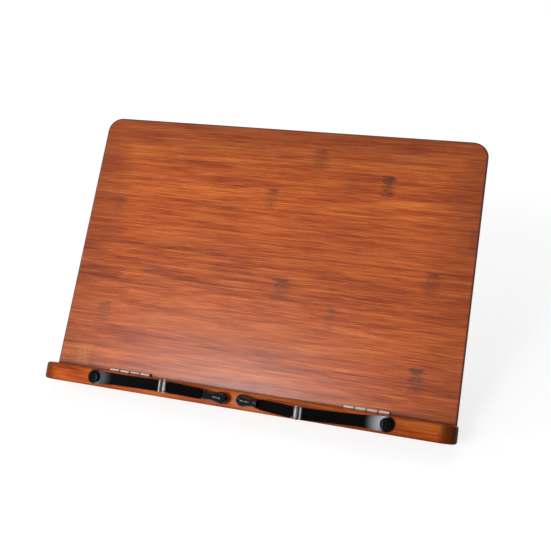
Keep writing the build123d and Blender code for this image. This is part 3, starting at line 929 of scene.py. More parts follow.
@dataclass(frozen=True)
class Bamboo:
    """Lacquered brown bamboo, pressed from flat strips that lie side by side.

    Attributes:
        name: The material's name.
        place: The piece's own frame.
        grain: Which way it runs.
        pitch: The strips' width in millimetres.
        first: Where strip 0 starts.
        middle: The depth at which the piece's rear layer starts, with strips of its own.
        marks: The stalk marks on its front layer.
        scattered: How strong the marks are that every other strip gets by chance.
        gloss: How strongly the lacquer reflects.
        reach: How far from the middle the marks by chance can be.
        chance_half: Half the width of the marks by chance.
        fray: How far the marks' edges are frayed along the fibres.
        wander: How far the fibres wander across.
        slide: How far the figure is slid along from strip to strip, at most.
        rear_number: What is added to a rear strip's number.
    """

    name: str
    place: Matrix
    grain: Grain
    pitch: float = 19.3
    first: float = 0.35
    middle: float = 4.5
    marks: tuple[StalkMark, ...] = ()
    scattered: float = 0.5
    gloss: float = 0.24
    # painted shade along the panel's edges and a painted shadow at its joint with the ledge
    edge: EdgeStain | None = None
    # end-grain stain and painted shade at the bar's ends, and painted shade towards its right end
    ends: EndStain | None = None
    deep: Colour = srgb(106, 34, 6)
    body: Colour = srgb(166, 74, 24)
    pale: Colour = srgb(206, 112, 50)
    reach: float = 165.0
    chance_half: float = 6.5
    fray: float = 17.0
    wander: float = 1.6
    slide: float = 900.0
    rear_number: int = 23

    # Layers of the figure: their length along the fibres, across them and through the piece
    fibres: Texture = Texture((42.0, 0.8, 1.6), 3.0, 0.62)
    streaks: Texture = Texture((70.0, 3.0, 6.0), 3.0, 0.6)
    clouds: Texture = Texture((60.0, 9.0, 16.0))
    threads: Texture = Texture((14.0, 0.36, 0.5), 2.0, 0.7)
    pores: Texture = Texture((5.5, 0.5, 0.6), 1.0)
    waver: Texture = Texture((70.0, 30.0, 30.0), 1.0)
    ragged: Texture = Texture((9.0, 2.2, 1.0), 3.0, 0.65)
    speckles: Texture = Texture((1.5, 1.1, 1.0), 2.0, 0.75)

    # Tints that lie over the strips
    red: Colour = (0.33, 0.058, 0.016, 1.0)
    orange: Colour = (0.62, 0.2, 0.045, 1.0)
    pore_brown: Colour = (0.075, 0.014, 0.006, 1.0)
    mark_brown: Colour = (0.07, 0.017, 0.004, 1.0)
    bare: Colour = (0.66, 0.27, 0.07, 1.0)
    seam_brown: Colour = (0.09, 0.018, 0.008, 1.0)

    def material(self) -> bpy.types.Material:
        """Builds the finish.

        Returns:
            The material.
        """
        lacquer = {"Specular IOR Level": self.gloss, "Coat Weight": 0.03, "Coat Roughness": 0.2}
        s = Surface(self.name, lacquer)
        place = s.coordinates(self.place)
        at = self._strips(s, place)
        tone = s.chance(at.number, Draw.TONE.value)
        warmth = s.chance(at.number, Draw.WARMTH.value)
        slid = at.along + s.chance(at.number, Draw.SLIDE.value) * self.slide
        layers = (self.fibres, self.streaks, self.clouds, self.threads, self.pores)
        fibre, streak, cloud, thread, pore = (s.noise(t, (slid, at.line, at.depth)) for t in layers)
        dark, light = self._marks(s, at)
        seam = 1 - at.side.rise(0.002, 0.013)

        level = 0.5 + fibre.sway(1.35) + streak.sway(1.0) + tone.sway(0.2)
        level = level + cloud.sway(0.75) + thread.sway(1.05)
        stops = ((0.06, self.deep), (0.5, self.body), (0.97, self.pale))
        tints = [
            (warmth.rise(0.4, 1.0) * cloud.rise(0.35, 0.7) * 0.3, self.red),
            ((1 - warmth).rise(0.5, 1.0) * streak.rise(0.5, 0.75) * 0.3, self.orange),
            (pore.rise(0.62, 0.74) * 0.3, self.pore_brown),
            (dark, self.mark_brown),
            (light, self.bare),
            (seam * 0.22, self.seam_brown),
        ]
        # painted shade, and the ends' stain, laid over the figure
        if self.edge:
            tints += self.edge.tints(*place)
        if self.ends:
            tints.append(self.ends.tint(at.along))
        s.paint(s.ramp(level.kept(), stops), tints)
        s.feed("Roughness", 0.25 + fibre.sway(0.24) + dark * 0.1)
        relief = fibre * 0.55 + thread * 0.35 + streak * 0.25 - seam * 0.25 - dark * 0.2
        s.bump(relief, 0.3, 0.12)
        return s.material

    def _strips(self, s: Surface, place: Sequence[Value]) -> Strips:
        """Finds a place among the strips.

        Args:
            s: The material's nodes.
            place: X, Y and Z in the piece's own frame.

        Returns:
            The strip and the place in it.
        """
        along, across, depth = (place[axis] for axis in self.grain.value)
        line = across + s.noise(self.waver, (along, across, depth)).sway(self.wander)
        counted = (across - self.first) / self.pitch
        strip = counted.whole()
        inside = counted - strip
        side = 0.5 - abs(inside - 0.5)
        behind = depth > self.middle
        number = strip + behind * self.rear_number
        return Strips(along, line, depth, strip, inside, side, behind, number)

    def _marks(self, s: Surface, at: Strips) -> tuple[Value, Value]:
        """How dark and how pale the stalk marks make each place.

        Args:
            s: The material's nodes.
            at: The place among the strips.

        Returns:
            The dark share and the pale share.
        """
        flat = (at.along, at.line, 0.0)
        worn = at.along + s.noise(self.ragged, flat).sway(self.fray)
        speckle = s.noise(self.speckles, flat).rise(0.4, 0.62)
        dark = light = at.strip * 0.0
        for mark in self.marks:
            band = 1 - (abs(worn - mark.along) / mark.half).rise(0.35, 1.2)
            here = 1 - abs(at.strip - mark.strip).least(1.0)
            share = band * here * abs(mark.depth)
            if mark.depth > 0:
                dark = share + dark
            else:
                light = share + light
        by_chance = s.chance(at.number, Draw.MARK_PLACE.value) * (2 * self.reach) - self.reach
        band = 1 - (abs(worn - by_chance) / self.chance_half).rise(0.55, 1.2)
        rare = s.chance(at.number, Draw.MARK_DEPTH.value).rise(0.3, 1.0) * self.scattered
        layer = at.behind if self.marks else 1.0
        dark = band * rare * layer + dark
        full = at.side.rise(0.0, 0.06)
        crown = at.inside.rise(0.66, 0.9) * 0.45 + 0.1
        dark = dark * full * (crown + speckle * 0.66)
        light = light * full * speckle
        return dark.kept(), light.kept()


@dataclass(frozen=True)
class BrightSteel:
    """Plated steel with faint rolling lines.

    Attributes:
        name: The material's name.
        place: The frame that its lines run along.
        step: The distance between the knuckles' dark joints, 0 where it has none.
        reach: How far the joints go on from the middle.
        knuckles_from: The height that the joints reach down to.
    """

    name: str
    place: Matrix
    colour: Colour = (0.34, 0.28, 0.25, 1.0)
    rough: float = 0.34
    step: float = 0.0
    reach: float = 18.5
    knuckles_from: float = -1.9
    grime: Colour = (0.03, 0.018, 0.012, 1.0)
    rolling: Texture = Texture((6.0, 0.12, 0.12), 2.0, 0.6)
    stains: Texture = Texture((5.0, 3.0, 3.0), 3.0)

    def material(self) -> bpy.types.Material:
        """Builds the finish.

        Returns:
            The material.
        """
        s = Surface(self.name, {"Metallic": 1.0})
        x, y, z = s.coordinates(self.place)
        lines = s.noise(self.rolling, (x, y, z))
        stain = s.noise(self.stains, (x, y, z))
        dull = (*(c * 0.72 for c in self.colour[:3]), 1.0)
        tints = [(stain.rise(0.45, 0.75) * 0.5, dull)]
        if self.step:
            part = (x + self.reach) / self.step
            gap = abs(part - (part + 0.5).whole()) * self.step
            joint = (1 - gap.rise(0.35, 1.0)) * (z > self.knuckles_from)
            tints.append((joint * 0.85, self.grime))
        s.paint(self.colour, tints)
        s.feed("Roughness", self.rough + lines.sway(0.16) + stain.rise(0.4, 0.8) * 0.12)
        s.bump(lines * 0.7 + stain * 0.3, 0.12, 0.03)
        return s.material


@dataclass(frozen=True)
class BlackEnamel:
    """Semi-gloss black enamel on steel, with the knee's two ridges rubbed bright and a painted sheen
    beside the pivot.

    Attributes:
        name: The material's name.
        place: The clip's frame, with the pivot on its Y axis.
        ridges: Each ridge's place along and out of the ledge, and its radius.
        worn: How strong the painted sheen on the arm is beside its pivot screw.
        patch: Where the painted sheen starts to fade, from the pivot, and where it ends.
        patch_start: The places along the arm between which the painted sheen begins.
        slant: How far that beginning slants across the arm.
        metal: The ridges' colour.
        polish: The colour of the painted sheen beside the pivot.
    """

    name: str
    place: Matrix
    ridges: tuple[Triple, ...] = ()
    worn: float = 0.0
    patch: Pair = (4.0, 16.5)
    patch_start: Pair = (-1.0, 5.5)
    slant: float = 0.35
    colour: Colour = (0.001, 0.001, 0.0013, 1.0)
    metal: Colour = (0.14, 0.14, 0.145, 1.0)
    # the colour of the painted sheen beside the pivot
    polish: Colour = (0.5, 0.5, 0.56, 1.0)
    rough: float = 0.13
    gloss: float = 0.035
    peel: Texture = even(1.5)
    specks: Texture = even(0.25, 1.0)
    scuffs: Texture = Texture((0.5, 0.5, 2.2), 3.0, 0.65)

    def material(self) -> bpy.types.Material:
        """Builds the finish.

        Returns:
            The material.
        """
        s = Surface(self.name, {"Specular IOR Level": self.gloss})
        x, y, z = s.coordinates(self.place)
        peel, specks, scuffed = (s.noise(t, (x, y, z)) for t in (self.peel, self.specks, self.scuffs))
        rubbed: Number = 0.0
        for along, out, radius in self.ridges:
            dx, dy = x - along, y + out
            away = (dx * dx + dy * dy) / (radius * radius)
            rubbed = (1 - away.rise(1.0, 1.35)) + rubbed
        bare = rubbed * (0.86 + scuffed.sway(0.3))
        # painted sheen: a bright metallic patch beside the pivot, standing in for a reflection
        near = 1 - (x * x + z * z).root().rise(*self.patch)
        begun = (x - z * self.slant).rise(*self.patch_start)
        sheen_share = near * begun * (0.9 + scuffed.sway(0.2)) * self.worn
        s.paint(self.colour, [(bare, self.metal), (sheen_share, self.polish)])
        s.feed("Metallic", (bare * 0.95).most(sheen_share))
        s.feed("Roughness", self.rough + peel.sway(0.08) + bare * (scuffed * 0.1 + 0.24))
        s.bump(peel * 0.7 + specks * 0.3, 0.09, 0.04)
        return s.material


@dataclass(frozen=True)
class DippedRubber:
    """Glossy black dipped rubber."""

    name: str
    place: Matrix
    gloss: float = 0.12
    colour: Colour = (0.003, 0.003, 0.004, 1.0)
    dusty: Colour = grey(0.03)
    swells: Texture = even(2.6)
    dust: Texture = even(0.3)

    def material(self) -> bpy.types.Material:
        """Builds the finish.

        Returns:
            The material.
        """
        s = Surface(self.name, {"Specular IOR Level": self.gloss})
        place = s.coordinates(self.place)
        swell = s.noise(self.swells, place)
        dust = s.noise(self.dust, place).rise(0.66, 0.8)
        s.paint(self.colour, [(dust * 0.4, self.dusty)])
        s.feed("Roughness", 0.1 + swell.sway(0.06) + dust * 0.15)
        s.bump(swell, 0.08, 0.12)
        return s.material


@dataclass(frozen=True)
class BlackWire:
    """Blacked steel wire, rubbed a little along its length."""

    name: str
    place: Matrix
    gloss: float = 0.3
    colour: Colour = (0.016, 0.016, 0.018, 1.0)
    metal: Colour = (0.16, 0.16, 0.165, 1.0)
    drawn: Texture = Texture((1.2, 0.3, 6.0), 3.0, 0.6)
    rubs: Texture = Texture((9.0, 4.0, 9.0), 3.0, 0.6)

    def material(self) -> bpy.types.Material:
        """Builds the finish.

        Returns:
            The material.
        """
        s = Surface(self.name, {"Specular IOR Level": self.gloss})
        place = s.coordinates(self.place)
        drawn = s.noise(self.drawn, place)
        rubbed = s.noise(self.rubs, place).rise(0.56, 0.74)
        s.paint(self.colour, [(rubbed * 0.6, self.metal)])
        s.feed("Metallic", rubbed * 0.5)
        s.feed("Roughness", 0.34 + drawn.sway(0.16))
        s.bump(drawn, 0.1, 0.05)
        return s.material


@dataclass(frozen=True)
class MattPlastic:
    """Dull black plastic."""

    name: str
    colour: Colour = grey(0.018)
    worn: Colour = grey(0.034)
    grain: Texture = even(0.2)

    def material(self) -> bpy.types.Material:
        """Builds the finish.

        Returns:
            The material.
        """
        s = Surface(self.name, {"IOR": 1.46})
        grain = s.noise(self.grain, s.coordinates(Matrix.Identity(4)))
        s.paint(self.colour, [(grain, self.worn)])
        s.feed("Roughness", 0.62 + grain.sway(0.1))
        s.bump(grain, 0.15, 0.03)
        return s.material


# Fasteners and springs


@dataclass(frozen=True)
class WoodScrew:
    """A small countersunk screw, its head's top at Z = 0, in millimetres."""

    head_radius: float = 1.9
    head_depth: float = 0.8
    bevel: float = 0.12
    bevel_depth: float = 0.07
    shank_radius: float = 1.0
    length: float = 6.5
    tip_length: float = 1.4
    tip_share: float = 0.25  # of the radius, left at the very end
    cross_half: float = 1.15
    cross_width: float = 0.42
    cross_depth: float = 0.5
    cross_floor: float = 0.55  # of the recess's size at its top
    thread_pitch: float = 0.95
    thread_depth: float = 0.24
    ridge_half: float = 0.25  # of the pitch
    rings: int = 6  # in each turn of the thread
    sides: int = 20

    def head_profile(self) -> list[Pair]:
        """The head's outline from its flat top down to the shank."""
        r, shank = self.head_radius, self.shank_radius
        return [(r - self.bevel, 0.0), (r, -self.bevel_depth), (shank, -self.head_depth)]

    def mesh(self) -> bpy.types.Mesh:
        """Builds the screw: cross recess, head, thread and tip.

        Returns:
            Its mesh, with Z up out of the head.
        """
        bm = bmesh.new()
        profile = self.head_profile()
        head = lathe(bm, profile, self.sides)
        self._recess(bm, head[0], profile[0][1])
        start = profile[-1][1]
        long = self.length + start
        rings = [head[-1]]
        steps = int(long / self.thread_pitch * self.rings)
        for i in range(1, steps + 1):
            z = start - long * i / steps
            rings.append([bm.verts.new(self._thread_point(z, start, a)) for a in range(self.sides)])
        join(bm, rings)
        bm.faces.new(rings[-1])
        return finished_mesh(bm, "screw", Matrix.Identity(4))

    def _thread_point(self, z: float, start: float, step: int) -> Triple:
        """A point of the threaded shank.

        Args:
            z: Its height.
            start: Where the shank starts.
            step: Its number round the shank.

        Returns:
            The point.
        """
        angle = 2 * pi * step / self.sides
        phase = z / self.thread_pitch - step / self.sides
        ridge = max(0.0, 1 - abs(phase - floor(phase) - 0.5) / self.ridge_half)
        deep = min(1.0, (start - z) / self.thread_pitch)
        left = (z + self.length) / self.tip_length * (1 - self.tip_share) + self.tip_share
        radius = (self.shank_radius - self.thread_depth * deep * (1 - ridge)) * min(1.0, left)
        return radius * cos(angle), radius * sin(angle), z

    def _recess(self, bm: bmesh.types.BMesh, rim: Ring, top: float) -> None:
        """Fills the head's top round a cross recess with sloping walls.

        Args:
            bm: The mesh to add to.
            rim: The points round the head's flat top.
            top: The flat top's height.
        """
        half, wide = self.cross_half, self.cross_width / 2
        corners = ((half, -wide), (half, wide), (wide, wide))
        outline = []
        for c, s in ((1, 0), (0, 1), (-1, 0), (0, -1)):
            outline += [(x * c - y * s, x * s + y * c) for x, y in corners]
        foot, small = top - self.cross_depth, self.cross_floor
        upper = [bm.verts.new((x, y, top)) for x, y in outline]
        lower = [bm.verts.new((x * small, y * small, foot)) for x, y in outline]
        edges = [bm.edges.new(pair) for pair in pairs(upper)]
        edges += [bm.edges.get(pair) for pair in pairs(rim)]
        bmesh.ops.triangle_fill(bm, use_beauty=True, use_dissolve=False, edges=edges)
        join(bm, [upper, lower])
        close(bm, lower, (0, 0, foot))


@dataclass(frozen=True)
class PivotScrew(WoodScrew):
    """The round-headed screw that a clip turns on. Z = 0 is the head's underside."""

    head_radius: float = 4.6
    head_depth: float = 2.2
    shank_radius: float = 1.6
    length: float = 14.4
    cross_half: float = 2.35
    cross_width: float = 1.15
    cross_depth: float = 1.3
    thread_pitch: float = 1.3
    thread_depth: float = 0.35
    sides: int = 40
    neck_radius: float = 2.0
    neck_length: float = 2.4
    crown: float = 2.75
    crown_edge: Pair = (3.15, 0.06)  # the radius and the depth that the crown falls off to
    crown_rise: float = 0.1  # over the rim's rounding
    rounding: float = 0.9
    rounding_steps: tuple[float, ...] = (0.35, 0.75, 1.15, 1.57)

    def head_profile(self) -> list[Pair]:
        """The head's outline: a shallow crown, a rounded rim, the underside and the neck.

        Returns:
            Radii and heights, from the crown down.
        """
        r, h, soft, neck = self.head_radius, self.head_depth, self.rounding, self.neck_radius
        across, up = r - soft, h - self.crown_rise - soft
        edge, fall = self.crown_edge
        crown = [(self.crown, h), (edge, h - fall)]
        rim = [(across + soft * sin(a), up + soft * cos(a)) for a in self.rounding_steps]
        under = [(r, self.bevel), (r - self.bevel, 0.0)]
        return crown + rim + under + [(neck, 0.0), (neck, -self.neck_length)]


@dataclass(frozen=True)
class ScrewSet:
    """Screws of one kind on one body, set out by Geometry Nodes.

    Attributes:
        node: The CAD node that they stand for.
        body: The body that they ride on.
        places: Each screw's frame, with its head up along Z.
        seed: The seed of the angles that they are turned to.
    """

    node: str
    body: str
    places: Sequence[Matrix]
    seed: int

    def build(self, screw: bpy.types.Object, finish: bpy.types.Material) -> None:
        """Sets the screws out, each turned to an angle of its own.

        Args:
            screw: The screw to repeat.
            finish: Its finish.
        """
        points = bpy.data.meshes.new(self.node + "_places")
        points.from_pydata([m.to_translation() for m in self.places], [], [])
        facing = points.attributes.new("facing", "FLOAT_VECTOR", "POINT")
        for item, place in zip(facing.data, self.places):
            item.vector = place.to_3x3() @ Vector((0, 0, 1))
        values = {"Screw": screw, "Seed": self.seed, "Finish": finish}
        piece = self._tree().run(self.node + "_turned", points, values)
        stand_for(piece, self.node, self.body)

    @staticmethod
    def _tree() -> Shaper:
        """The tree that puts a screw on each point, along the point's facing.

        Returns:
            The finished tree.
        """
        t = Shaper("screws on their places")
        screw = t.given("Screw", "NodeSocketObject")
        seed = t.given("Seed", "NodeSocketInt")
        named = {"data_type": "FLOAT_VECTOR"}
        facing = t.add("GeometryNodeInputNamedAttribute", named, {"Name": "facing"}).outputs[0]
        align = t.add("FunctionNodeAlignRotationToVector", {"axis": "Z"}, {"Vector": facing})
        limits = {"Min_001": 0.0, "Max_001": pi / 2, "Seed": seed}
        angle = t.add("FunctionNodeRandomValue", {"data_type": "FLOAT"}, limits).outputs[1]
        round_z = {"Axis": (0.0, 0.0, 1.0), "Angle": angle}
        spin = t.add("FunctionNodeAxisAngleToRotation", {}, round_z)
        turns = {"Rotation": align.outputs[0], "Rotate By": spin.outputs[0]}
        both = t.add("FunctionNodeRotateRotation", {"rotation_space": "LOCAL"}, turns)
        shape = t.add("GeometryNodeObjectInfo", {"transform_space": "ORIGINAL"}, {"Object": screw})
        copies = {"Points": t.geometry, "Instance": shape.outputs["Geometry"]}
        copies["Rotation"] = both.outputs[0]
        t.end(t.add("GeometryNodeInstanceOnPoints", {}, copies).outputs[0])
        return t


@dataclass(frozen=True)
class KneeSpring:
    """The coil in a clip's knee, in millimetres."""

    radius: float = 1.2
    wire: float = 0.2
    pitch: float = 0.55
    turns: float = 6.0
    steps: int = 24
    sides: int = 10

    def build(self, side: Side, knee: Matrix, finish: bpy.types.Material) -> None:
        """Winds the coil round the knee's pin.

        Args:
            side: Which clip it is in.
            knee: The middle of the knee, with the pin along Z.
            finish: Its finish.
        """
        t = Shaper("coil")
        radius, wire, turns, height = (t.given(n) for n in ("Radius", "Wire radius", "Turns", "Height"))
        wound = {"Resolution": self.steps, "Rotations": turns, "Height": height}
        wound |= {"Start Radius": radius, "End Radius": radius}
        t.sweep(t.add("GeometryNodeCurveSpiral", {}, wound).outputs[0], wire, self.sides)
        long = self.pitch * self.turns
        values = {"Radius": self.radius * MM, "Wire radius": self.wire * MM, "Turns": self.turns}
        values |= {"Height": long * MM, "Finish": finish}
        node = f"clip_{side}_knee_spring"
        piece = t.run(node + "_wound", bpy.data.meshes.new(node), values)
        piece.data.transform(knee @ shift(0, 0, -long / 2))
        stand_for(piece, node, f"clip_{side}")


# The stand's sub-assemblies


@dataclass(frozen=True)
class BambooPanels:
    """Board, ledge and strut, which keep their CAD shapes and get their figured finish."""

    # painted shade along the board's edges and a painted shadow at its joint with the ledge
    board_edge: EdgeStain = EdgeStain(170.0, 228.2, 13.0)
    # end-grain stain and painted shade at the ledge's ends, and painted shade towards its right end
    ledge_ends: EndStain = EndStain((153.5, 163.0))
    ledge_colours: tuple[Colour, ...] = (srgb(112, 38, 8), srgb(170, 74, 26), srgb(202, 108, 46))

    def dress(self) -> None:
        """Gives each bamboo piece its finish."""
        deep, body, pale = self.ledge_colours
        finishes = {
            "back_board": Bamboo(
                "board bamboo", LAYOUT.board(), Grain.BOARD, marks=BOARD_MARKS, edge=self.board_edge
            ),
            "book_ledge": Bamboo(
                "ledge bamboo", LAYOUT.ledge(), Grain.BAR, pitch=6.2, first=-28.0, middle=50.0,
                scattered=0.35, gloss=0.012, ends=self.ledge_ends, deep=deep, body=body, pale=pale,
            ),
            "strut": Bamboo(
                "strut bamboo", LAYOUT.strut(), Grain.PROP, first=-48.0, middle=6.0, scattered=0.8
            ),
        }
        for node, finish in finishes.items():
            dress(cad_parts[node], finish.material())
            LOG.info("%s dressed as %s", node, finish.name)


@dataclass(frozen=True)
class HingePair:
    """Two small steel hinges of the same kind, in millimetres."""

    flap: Flap
    leaf_easing: float = 0.14
    pin_easing: float = 0.25
    screw_gap: float = 24.0
    screw_down: float = 7.0
    leaf: float = 0.8
    stack: float = 1.9  # from the pin to the fixed wood
    knuckle: float = 9.25
    seed: int = 7  # for the board's screws, and the next one for the flap's

    def build(self, screw: bpy.types.Object, screw_finish: bpy.types.Material) -> None:
        """Eases leaves and pins, and sets the screws.

        Args:
            screw: The screw to repeat.
            screw_finish: The screws' finish.
        """
        flap = self.flap.value
        for side in Side:
            name = f"{flap} {side} hinge steel"
            place = LAYOUT.hinge(self.flap, side, moving=False)
            steel = BrightSteel(name, place, step=self.knuckle).material()
            hinge = f"{flap}_hinge_{side}"
            ease(f"{hinge}_board_leaf", self.leaf_easing, steel, "board")
            ease(f"{hinge}_{flap}_leaf", self.leaf_easing, steel, flap)
            ease(f"{hinge}_pin", self.pin_easing, steel, "board")
        for moving, body in enumerate(("board", flap)):
            node = f"{flap}_hinge_{body}_screws"
            screws = ScrewSet(node, body, self._screw_places(bool(moving)), self.seed + moving)
            screws.build(screw, screw_finish)

    def _screw_places(self, moving: bool) -> list[Matrix]:
        """Where one body's screws go.

        Args:
            moving: True for those in the flap, False for those in the board.

        Returns:
            Each screw's frame, with its head up along Z.
        """
        depth = self.leaf if moving else self.stack - self.leaf
        facing = turn(-90 if moving else 90, "X")
        half = self.screw_gap / 2
        return [
            LAYOUT.hinge(self.flap, side, moving) @ shift(x, depth, -self.screw_down) @ facing
            for side in Side
            for x in (-half, half)
        ]


@dataclass(frozen=True)
class Bail:
    """The wire bail and the two saddles that hold its ends, in millimetres."""

    wire: float = 1.6
    wire_sides: int = 28
    side_x: float = 52.0
    end_x: float = 67.0
    length: float = 105.68
    bend: float = 5.0
    saddle_x: float = 61.5
    saddle_screw: float = 5.8
    saddle_sheet: float = 1.0
    saddle_easing: float = 0.18
    saddle_rough: float = 0.36
    board_depth: float = 9.0
    seed: int = 11

    def build(self, screw: bpy.types.Object, screw_finish: bpy.types.Material) -> None:
        """Bends the wire, eases the saddles and sets their screws.

        Args:
            screw: The screw to repeat.
            screw_finish: The screws' finish.
        """
        self._wire()
        enamel = BlackEnamel("saddle enamel", LAYOUT.board(), rough=self.saddle_rough).material()
        y, z = self.board_depth + self.saddle_sheet, LAYOUT.bail_pin[1]
        places = []
        for side in Side:
            ease(f"bail_saddle_{side}", self.saddle_easing, enamel, "board")
            for up in (-self.saddle_screw, self.saddle_screw):
                places.append(LAYOUT.board() @ shift(side.way * self.saddle_x, y, z + up) @ turn(-90, "X"))
        ScrewSet("saddle_screws", "board", places, self.seed).build(screw, screw_finish)

    def _wire(self) -> None:
        """Bends the bail along its corners with Geometry Nodes."""
        t = Shaper("bent wire")
        radius, bend = t.given("Wire radius"), t.given("Bend radius")
        path = t.add("GeometryNodeMeshToCurve", {}, {0: t.geometry}).outputs[0]
        corners = {"Curve": path, "Radius": bend, "Limit Radius": False}
        t.sweep(t.add("GeometryNodeFilletCurve", {}, corners).outputs[0], radius, self.wire_sides)

        half = [(-self.end_x, 0), (-self.side_x, 0), (-self.side_x, self.length)]
        line = half + [(-x, z) for x, z in reversed(half)]
        points = [LAYOUT.bail() @ Vector((x * MM, 0, z * MM)) for x, z in line]
        mesh = bpy.data.meshes.new("bail line")
        mesh.from_pydata(points, [(i, i + 1) for i in range(len(points) - 1)], [])
        finish = BlackWire("bail wire", LAYOUT.bail()).material()
        values = {"Wire radius": self.wire * MM, "Bend radius": self.bend * MM, "Finish": finish}
        stand_for(t.run("wire_bail_bent", mesh, values), "wire_bail", "bail")


@dataclass(frozen=True)
class PageClip:
    """One sprung page clip: pivot screw, two arms, knee, boot and washer, in millimetres."""

    side: Side
    worn: float  # how strong the painted sheen on the lower arm is beside the screw
    screw_turn: float
    knee_along: float = 65.9
    knee_out: float = 14.0
    knee_radius: float = 2.0
    bead_along: float = 62.4
    bead_out: float = 14.8
    bead_radius: float = 1.2
    kink: float = 4.67  # degrees between the arms, seen from the front
    line_out: float = 15.4  # the upper arm's line at the knee
    ball_along: float = 110.8
    ball_out: float = 5.4
    ball_radius: float = 5.0
    boot_length: float = 19.0
    boot_sides: int = 48
    parting: float = 0.03  # the parting line's depth, as a share of the radius
    parting_first: int = 4  # the first ring of points behind the lip
    parting_last: int = -3  # where it stops, counted back from the ball's end
    screw_out: float = 2.4
    arm_easing: float = 0.22
    pin_easing: float = 0.15
    washer_easing: float = 0.12
    rivet: Colour = (0.3, 0.3, 0.31, 1.0)
    rivet_rough: float = 0.32
    screw_rough: float = 0.27
    outline: tuple[Pair, ...] = (
        (0.45, 3.1),
        (0.05, 3.4),
        (0.0, 3.7),
        (0.18, 3.95),
        (0.7, 3.92),
        (2.0, 3.65),
        (3.5, 3.4),
        (5.0, 3.3),
        (6.5, 3.35),
        (8.0, 3.54),
        (9.6, 3.9),
        (11.2, 4.4),
        (12.7, 4.84),
        (14.0, 5.0),
    )

    def build(self) -> None:
        """Builds and dresses the clip's pieces."""
        body, tip = f"clip_{self.side}", f"clip_{self.side}_tip"
        place = LAYOUT.clip(self.side)
        ridges = (
            (self.bead_along, self.bead_out, self.bead_radius),
            (self.knee_along, self.knee_out, self.knee_radius),
        )
        enamel = BlackEnamel(f"{self.side} clip enamel", place, ridges, self.worn).material()
        steel = BrightSteel(f"{self.side} clip rivet", place, self.rivet, self.rivet_rough).material()
        plastic = MattPlastic(f"{self.side} clip washer").material()
        ease(f"{body}_lower_arm", self.arm_easing, enamel, body)
        ease(f"{body}_upper_arm", self.arm_easing, enamel, tip)
        ease(f"{body}_knee_pin", self.pin_easing, steel, body)
        KneeSpring().build(self.side, place @ shift(self.knee_along, -self.knee_out, 0), steel)
        self._boot(tip, place)
        self._pivot(place)
        ease(f"{body}_washer", self.washer_easing, plastic, "ledge")

    def _boot(self, tip: str, place: Matrix) -> None:
        """Moulds the rubber boot with its ball, lip and parting line.

        Args:
            tip: The body that it rides on.
            place: The clip's frame.
        """
        slope = atan2(self.ball_out - self.line_out, self.ball_along - self.knee_along)
        ball_at = self.boot_length - self.ball_radius
        kinked = shift(self.knee_along, 0, 0) @ turn(self.kink, "Y") @ shift(-self.knee_along, 0, 0)
        lean = Matrix.Rotation(-slope, 4, "Z")
        seat = kinked @ shift(self.ball_along, -self.ball_out, 0) @ lean @ shift(-ball_at, 0, 0)
        arc = [radians(step) for step in range(10, 90, 10)]
        ball = [(self.ball_radius * cos(a), ball_at + self.ball_radius * sin(a)) for a in arc]
        bm = bmesh.new()
        rings = lathe(bm, [(r, x) for x, r in self.outline] + ball, self.boot_sides)
        close(bm, rings[0], (0, 0, self.outline[0][0]))
        close(bm, rings[-1], (0, 0, self.boot_length))
        for ring in rings[self.parting_first:self.parting_last]:
            for point in (ring[0], ring[self.boot_sides // 2]):
                point.co.xy = point.co.xy * (1 - self.parting)
        mesh = finished_mesh(bm, "boot", place @ seat @ turn(90, "Y"))
        node = f"clip_{self.side}_boot"
        piece = shown(node + "_moulded", mesh)
        smooth = piece.modifiers.new("smooth", "SUBSURF")
        smooth.levels = smooth.render_levels = 1
        settled(piece)
        smoothed(piece.data, RUBBER_SMOOTH_UP_TO)
        dress(piece, DippedRubber(f"{self.side} boot rubber", place).material())
        stand_for(piece, node, tip)

    def _pivot(self, place: Matrix) -> None:
        """Sets the round-headed screw that the clip turns on.

        Args:
            place: The clip's frame.
        """
        node = f"clip_{self.side}_pivot_screw"
        mesh = PivotScrew().mesh()
        spin = turn(self.screw_turn, "Z")
        mesh.transform(place @ turn(90, "X") @ shift(0, 0, self.screw_out) @ spin)
        piece = shown(node + "_turned", mesh)
        black = BlackEnamel(f"{self.side} screw black", place, rough=self.screw_rough)
        dress(piece, black.material())
        stand_for(piece, node, "ledge")


# Light, floor and camera


@dataclass(frozen=True)
class Softbox:
    """A soft studio lamp, in metres and watts."""

    name: str
    at: Triple
    aim: Triple
    width: float
    height: float
    watts: float

    def build(self) -> None:
        """Hangs the lamp and points it."""
        lamp = bpy.data.lights.new(self.name, "AREA")
        lamp.shape = "RECTANGLE"
        lamp.size, lamp.size_y = self.width, self.height
        lamp.energy = self.watts
        holder = bpy.data.objects.new(self.name, lamp)
        holder.location = self.at
        ahead = Vector(self.aim) - Vector(self.at)
        holder.rotation_euler = ahead.to_track_quat("-Z", "Y").to_euler()
        bpy.context.scene.collection.objects.link(holder)


